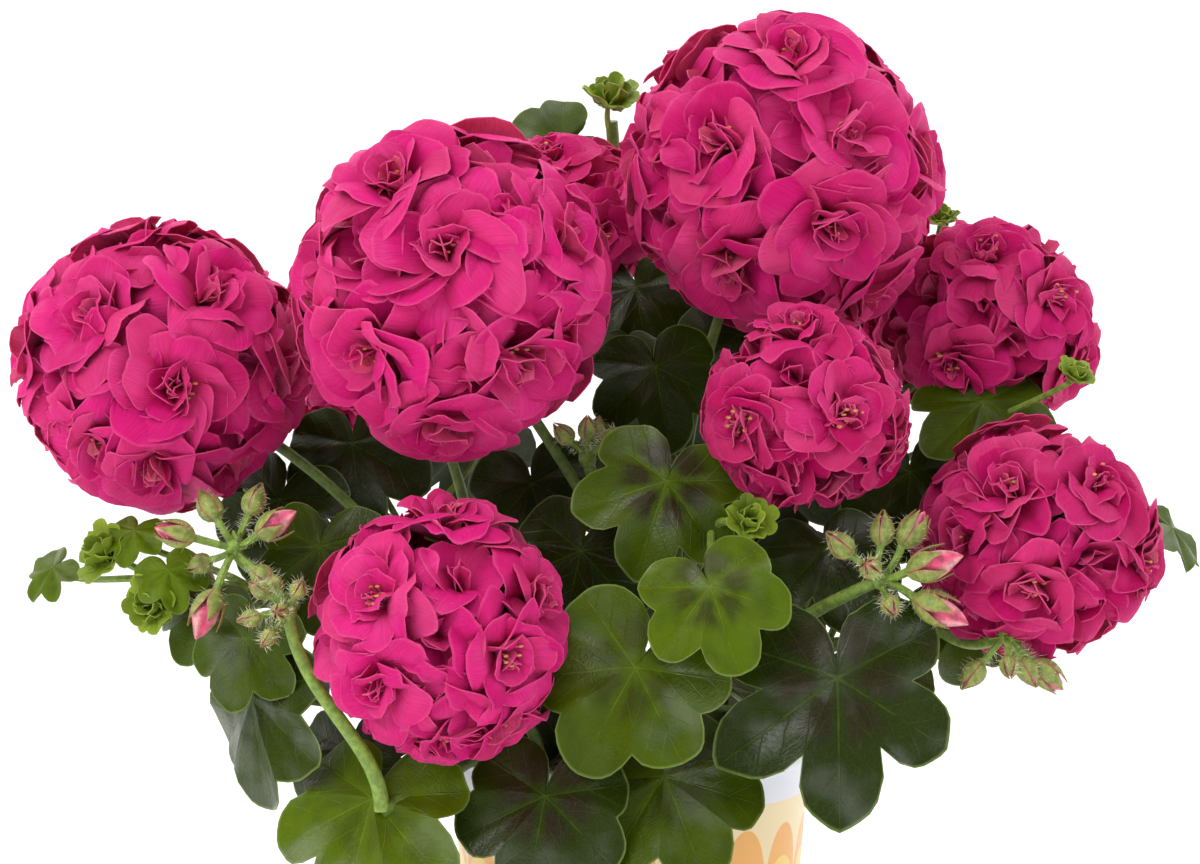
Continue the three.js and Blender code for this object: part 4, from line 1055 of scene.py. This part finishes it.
def add_sepal(mesh, start, along, aside, under, shape, columns, thickness, tint):
    """One small pointed leaf; shape is its length, half width, foot, spread and hollow."""
    length, width, foot, spread, hollow = shape
    t, u = np.linspace(0, 1, 5)[:, None], np.linspace(-1, 1, columns)[None]
    half = width * np.sin(np.pi * (foot + spread * t)) ** 0.8
    sheet = (start + (length * t)[..., None] * along + (half * u)[..., None] * aside
             - (hollow * u**2)[..., None] * under)
    mesh.add(*shell(sheet, thickness)[:2], tint=tint)


def add_calyx(mesh, centre, base, axis, hub, rng):
    """The stalk of one flower, and the sepals under it."""
    add_stalk(mesh, centre, base, axis, hub)
    end = centre + base
    first, second = cross_axes(axis)
    start = rng.uniform(0, 6.28)
    for k in range(5):
        turn = start + 2 * math.pi * k / 5
        out = around(first, second, turn)
        along = unit(out * 1.1 + axis * 0.5)
        add_sepal(mesh, end, along, np.cross(axis, out), axis, CALYX_SHAPE, 3, 0.4, SEPAL)


def add_stamens(mesh, base, axis, rng, count):
    first, second = cross_axes(axis)
    for k in range(count):
        turn = 2 * math.pi * (k + rng.uniform(-0.3, 0.3)) / count
        lean = unit(axis + around(first, second, turn) * rng.uniform(0.15, 0.5))
        length = rng.uniform(9, 13)
        line = np.array([base, base + lean * length * 0.5, base + lean * length])
        mesh.add(*tube(line, [0.28, 0.24, 0.2], 3), tint=FILAMENT)
        knob = line[-1] + np.outer([-0.9, -0.45, 0.45, 0.9], first)
        mesh.add(*tube(knob, [0.12, 0.5, 0.5, 0.12], 5), tint=ANTHER)


# ---- Bud umbels


BUD_HAIRS = 80


def ovoid(s):
    """The girth of a bud along its length, widest before the middle."""
    return np.sin(np.pi * np.clip(s, 0, 1) ** 0.76) ** 0.8


def spread(girth, angle, first, second):
    return (girth * np.cos(angle))[..., None] * first + (girth * np.sin(angle))[..., None] * second


def add_bud(mesh, start, axis, length, radius, opening, rng):
    """A roll of petals in five pointed sepals, which spread as it opens, with white hairs."""
    first, second = cross_axes(axis)
    rings, sides = 12, 20
    s = np.linspace(0.015, 0.985, rings)[:, None]
    turn = 2 * np.pi * np.arange(sides)[None] / sides
    girth = radius * (0.84 + 0.22 * opening * s) * ovoid(s)
    girth = girth * (1 + (0.04 + 0.10 * opening) * np.cos(3 * turn + 5 * s + 3 * opening))
    roll = length * (0.92 + 0.1 * opening)
    ring = (start + (s * roll * np.ones_like(turn))[..., None] * axis
            + spread(girth, turn, first, second))
    points = np.concatenate([ring.reshape(-1, 3), [start], [start + axis * roll]])
    streak = (0.5 + 0.5 * np.cos(3 * turn + 5 * s + 3 * opening + 0.6))[..., None] ** 2
    tint = np.array(BUD_PINK) * (1 - 0.75 * streak) + np.array(BUD_WHITE) * 0.75 * streak
    tint = tint.reshape(-1, 3)
    mesh.add(points, capped_faces(rings, sides), tint=np.vstack([tint, tint[:1], tint[-1:]]))
    cover = 1.02 - 0.34 * opening
    phase = rng.uniform(0, 6.28)
    for sepal in range(5):
        t, u = np.linspace(0.02, 1, 9)[:, None], np.linspace(-1, 1, 6)[None]
        taper = 1 - np.clip((t - 0.4) / 0.6, 0, 1) ** (1.9 + 0.6 * (1 - opening))
        angle = phase + 2 * np.pi * sepal / 5 + u * math.radians(35) * np.maximum(taper, 0.06)
        flare = opening * rng.uniform(0.6, 1.6) * t**2
        girth = radius * ovoid(t * cover * 0.985) * (1 + 0.05 * (1 - u * u)) + 0.25 + flare
        along = (t * cover * length + 0.06 * length * (t > 0.99))[..., None] * axis
        sheet = (start + along * np.ones_like(u)[..., None]
                 + spread(girth, angle, first, second))
        blush = (np.abs(u) ** 3 * 0.55 * np.ones_like(t) + 0.25 * t**3 * (1 - u * u))[..., None]
        paler = (0.5 * (1 - t) + 0.3 * u * u)[..., None]
        green = np.array(BUD_GREEN) + (np.array(BUD_PALE) - np.array(BUD_GREEN)) * paler
        colour = (green * (1 - blush) + np.array(BUD_BLUSH) * blush).reshape(-1, 3)
        mesh.add(*shell(sheet, 0.4)[:2], tint=np.vstack([colour, colour]))
    for _ in range(BUD_HAIRS):
        a, b = rng.uniform(0, 2 * np.pi), rng.uniform(-0.5, cover - 0.1)
        out = around(first, second, a)
        girth = radius * float(ovoid(max(b, 0.1))) + 0.3 if b > 0 else 1.1
        direction = unit(out + axis * rng.uniform(-0.3, 0.6) + second * rng.uniform(-0.3, 0.3))
        root = start + axis * length * b + out * girth
        spike(mesh, root, direction, rng.uniform(1.4, 3.2), 0.075, HAIR)


def build_buds(name, hub, rows, index):
    """A hub with bracts, and hairy buds on their stalks."""
    mesh = Mesh("tint")
    hub = np.array(hub, float)
    rng = np.random.default_rng(7000 + index)
    knob = np.array([hub + [0, 0, z] for z in (-3, -2.2, 0, 2.2, 3)])
    mesh.add(*tube(knob, [0.8, 2.4, 3.0, 2.4, 0.8], 9), tint=PALE_STALK)
    for x, y, z, size, opening in rows:
        offset = np.array([x, y, z], float)
        axis = unit(offset)
        length = BUD_LENGTH * size * (1 + OPENING_GROWTH * opening)
        foot = np.linalg.norm(offset) - length * 0.5
        _, second = cross_axes(axis)
        sag = second * rng.uniform(-1, 1)
        steps = np.linspace(0, 1, 7)
        line = np.array([hub + axis * foot * s + sag * math.sin(math.pi * s) for s in steps])
        girth = np.linspace(1.1, 1.35, 7) * (0.6 + 0.4 * size)
        mesh.add(*tube(line, girth, 7), tint=PALE_STALK)
        start = hub + axis * (foot - 0.4)
        add_bud(mesh, start, axis, length, BUD_RADIUS * size * 1.08, opening, rng)
        along, aside = unit(axis + second * 0.8), np.cross(axis, second)
        add_sepal(mesh, hub, along, aside, second, BRACT_SHAPE, 4, 0.35, BUD_GREEN)
    mesh.piece(name + "_umbel", PLANT, "bud", [name])


# ---- Pot and soil


def pot_radius(z):
    return POT_BASE_RADIUS + (POT_TOP_RADIUS - POT_BASE_RADIUS) * z / POT_HEIGHT


def lathe(mesh, profile, sides, **values):
    """A closed body of revolution of a profile that starts and ends on the axis."""
    turn = 2 * np.pi * np.arange(sides) / sides
    inner = profile[1:-1]
    rings = np.array([[[r * math.cos(a), r * math.sin(a), z] for a in turn] for r, z in inner])
    ends = [[0, 0, profile[0][1]], [0, 0, profile[-1][1]]]
    mesh.add(np.concatenate([rings.reshape(-1, 3), ends]), capped_faces(len(inner), sides), **values)


def cut_hole(piece, x, y):
    """Cut one drainage hole through the pot's base."""
    cutter = Mesh()
    radius = DRAIN_HOLE_RADIUS
    lathe(cutter, [[0, -4], [radius, -4], [radius, 5], [0, 5]], 24)
    points = np.concatenate(cutter.points) + [x, y, 0]
    mesh = bpy.data.meshes.new("cutter")
    mesh.from_pydata((points * MM).tolist(), [], np.concatenate(cutter.faces).tolist())
    tool = link("cutter", mesh)
    cut = piece.modifiers.new("hole", "BOOLEAN")
    cut.operation, cut.object, cut.solver = "DIFFERENCE", tool, "EXACT"
    with bpy.context.temp_override(object=piece, active_object=piece):
        bpy.ops.object.modifier_apply(modifier="hole")
    bpy.data.objects.remove(tool)
    bpy.data.meshes.remove(mesh)


def build_pot():
    """The thin-walled pot with its rolled rim, and holes through its base."""
    shoulder = POT_HEIGHT - RIM_HEIGHT
    neck, lip, bore = pot_radius(shoulder), POT_TOP_RADIUS + RIM_BEAD, POT_TOP_RADIUS - POT_WALL
    mesh = Mesh()
    lathe(mesh, [
        [0, 0], [POT_BASE_RADIUS - 1.2, 0], [POT_BASE_RADIUS - 0.35, 0.35], [pot_radius(1.4), 1.4],
        *[[pot_radius(z), z] for z in np.linspace(6, shoulder, 18)],
        [neck + RIM_BEAD * 0.7, shoulder + 0.25], [neck + RIM_BEAD, shoulder + 0.9],
        [lip, POT_HEIGHT - 1.0], [lip - 0.3, POT_HEIGHT - 0.25], [lip - 0.9, POT_HEIGHT],
        [bore + 0.4, POT_HEIGHT], [bore, POT_HEIGHT - 0.5], [pot_radius(SOIL_TOP) - POT_WALL, SOIL_TOP],
        [POT_BASE_RADIUS - POT_WALL, POT_WALL], [0, POT_WALL],
    ], 128)
    piece = mesh.piece("pot_body", POT, "pot", ["pot"], sharp=40)
    for k in range(DRAIN_HOLES):
        angle = 2 * math.pi * (k + 0.5) / DRAIN_HOLES
        cut_hole(piece, DRAIN_CIRCLE_RADIUS * math.cos(angle), DRAIN_CIRCLE_RADIUS * math.sin(angle))


def soil_radius(z):
    return pot_radius(z) - POT_WALL - FIT_GAP


CRUMBS = 600
SOIL_COLOUR = (0.05, 0.03, 0.018)
PERLITE = (0.6, 0.57, 0.5)


def crumb_hull():
    """A rounded block's points and triangles, the shape that each crumb is made from."""
    steps = (-1, 0, 1)
    corners = [unit((x, y, z)) for x in steps for y in steps for z in steps if x or y or z]
    work = bmesh.new()
    for corner in corners:
        work.verts.new(corner)
    bmesh.ops.convex_hull(work, input=work.verts)
    bmesh.ops.triangulate(work, faces=work.faces[:])
    work.verts.index_update()
    points = np.array([v.co[:] for v in work.verts])
    faces = np.array([[v.index for v in f.verts] for f in work.faces])
    work.free()
    return points, faces


def build_soil():
    """The root ball with a crumbly top, and loose bits of bark and pale perlite on it."""
    mesh = Mesh("tint")
    rng = np.random.default_rng(99)
    foot = POT_WALL + FIT_GAP
    lathe(mesh, [
        [0, foot], [soil_radius(0) - 0.5, foot], [soil_radius(30), 30], [soil_radius(60), 60],
        [soil_radius(SOIL_TOP - 4), SOIL_TOP - 4], [soil_radius(SOIL_TOP) - 3, SOIL_TOP - 2],
        [POT_TOP_RADIUS * 0.7, SOIL_TOP - 1.2], [0, SOIL_TOP - 0.6],
    ], 64, tint=SOIL_COLOUR)
    hull_points, hull_faces = crumb_hull()
    for _ in range(CRUMBS):
        r = soil_radius(SOIL_TOP) * 0.965 * math.sqrt(rng.random())
        a = rng.uniform(0, 2 * np.pi)
        size = rng.uniform(0.9, 2.6)
        pale = rng.random() < 0.06
        stretch = np.array([1, rng.uniform(0.5, 1), rng.uniform(0.4, 0.8)]) * size
        spin = rng.uniform(0, 2 * np.pi)
        lump = hull_points * stretch * (1 + 0.25 * rng.uniform(-1, 1, (len(hull_points), 1)))
        x, y, z = lump.T
        turned = np.stack([x * math.cos(spin) - y * math.sin(spin),
                           x * math.sin(spin) + y * math.cos(spin), z], -1)
        place = [r * math.cos(a), r * math.sin(a), SOIL_TOP - 0.9 - 1.3 * (r / 57) ** 4]
        brown = np.array([0.055, 0.032, 0.018]) * rng.uniform(0.5, 1.9)
        mesh.add(turned + place, hull_faces, tint=PERLITE if pale else brown)
    mesh.piece("soil_crumbs", SOIL, "soil", ["soil"])


rows = leaf_rows()
for name, _, radius in SHOOTS:
    build_shoot(name, radius, rows)
for index, (name, centre, radius, _, _, given) in enumerate(HEADS):
    build_head(name, centre, radius, given, index)
for index, (name, hub, _, _, _, buds) in enumerate(BUDS):
    build_buds(name, hub, buds, index)
build_pot()
build_soil()

# ---- Stage, light and camera

floor_mesh = bpy.data.meshes.new("floor")
floor_mesh.from_pydata([(-30, -30, 0), (30, -30, 0), (30, 30, 0), (-30, 30, 0)], [], [(0, 1, 2, 3)])
floor = link("floor", floor_mesh)
floor_look = Look("floor")
floor_look.set("Base Color", (0.97, 0.97, 0.975, 1))
floor_look.set("Roughness", 0.9)
floor_look.set("Specular IOR Level", 0.1)
floor_mesh.materials.append(floor_look.material)

world = bpy.data.worlds.new("studio")
world.use_nodes = True
sky = Nodes(world.node_tree)
_, y, z = sky.split(sky.node("ShaderNodeTexCoord", output="Generated"))
high = sky.math("MULTIPLY_ADD", z, 0.35, y)
background = sky.tree.nodes["Background"]
background.inputs[0].default_value = (1, 1, 1, 1)
sky.put(background.inputs[1], sky.range(high, -0.45, 0.5, 0.32, 1.8))
bpy.context.scene.world = world


def area_light(name, place, aim, size, power):
    light = bpy.data.lights.new(name, "AREA")
    light.size, light.energy = size, power
    lamp = link(name, light)
    lamp.location = place
    lamp.rotation_euler = Vector(np.array(aim) - np.array(place)).to_track_quat("-Z", "Y").to_euler()


area_light("key", (-0.9, -1.3, 1.5), (0, 0, 0.2), 1.5, 25)
area_light("fill", (1.4, -1.2, 0.9), (0, 0, 0.2), 1.0, 5)

CAMERA_ELEVATION = 6
CAMERA_DISTANCE = 1.5
CAMERA_TARGET = (-0.010, 0, 0.209)
MM_PER_PIXEL = 0.33
IMAGE_WIDTH = 1200

camera_data = bpy.data.cameras.new("camera")
camera_data.sensor_width = 36
camera_data.lens = 36 * CAMERA_DISTANCE / (MM * MM_PER_PIXEL * IMAGE_WIDTH)
camera_data.clip_start, camera_data.clip_end = 0.05, 100
camera = link("camera", camera_data)
rise = math.radians(CAMERA_ELEVATION)
camera.location = (CAMERA_TARGET[0], -CAMERA_DISTANCE * math.cos(rise),
                   CAMERA_TARGET[2] + CAMERA_DISTANCE * math.sin(rise))
camera.rotation_euler = (math.pi / 2 - rise, 0, 0)
bpy.context.scene.camera = camera
bpy.context.scene.view_settings.view_transform = "Standard"
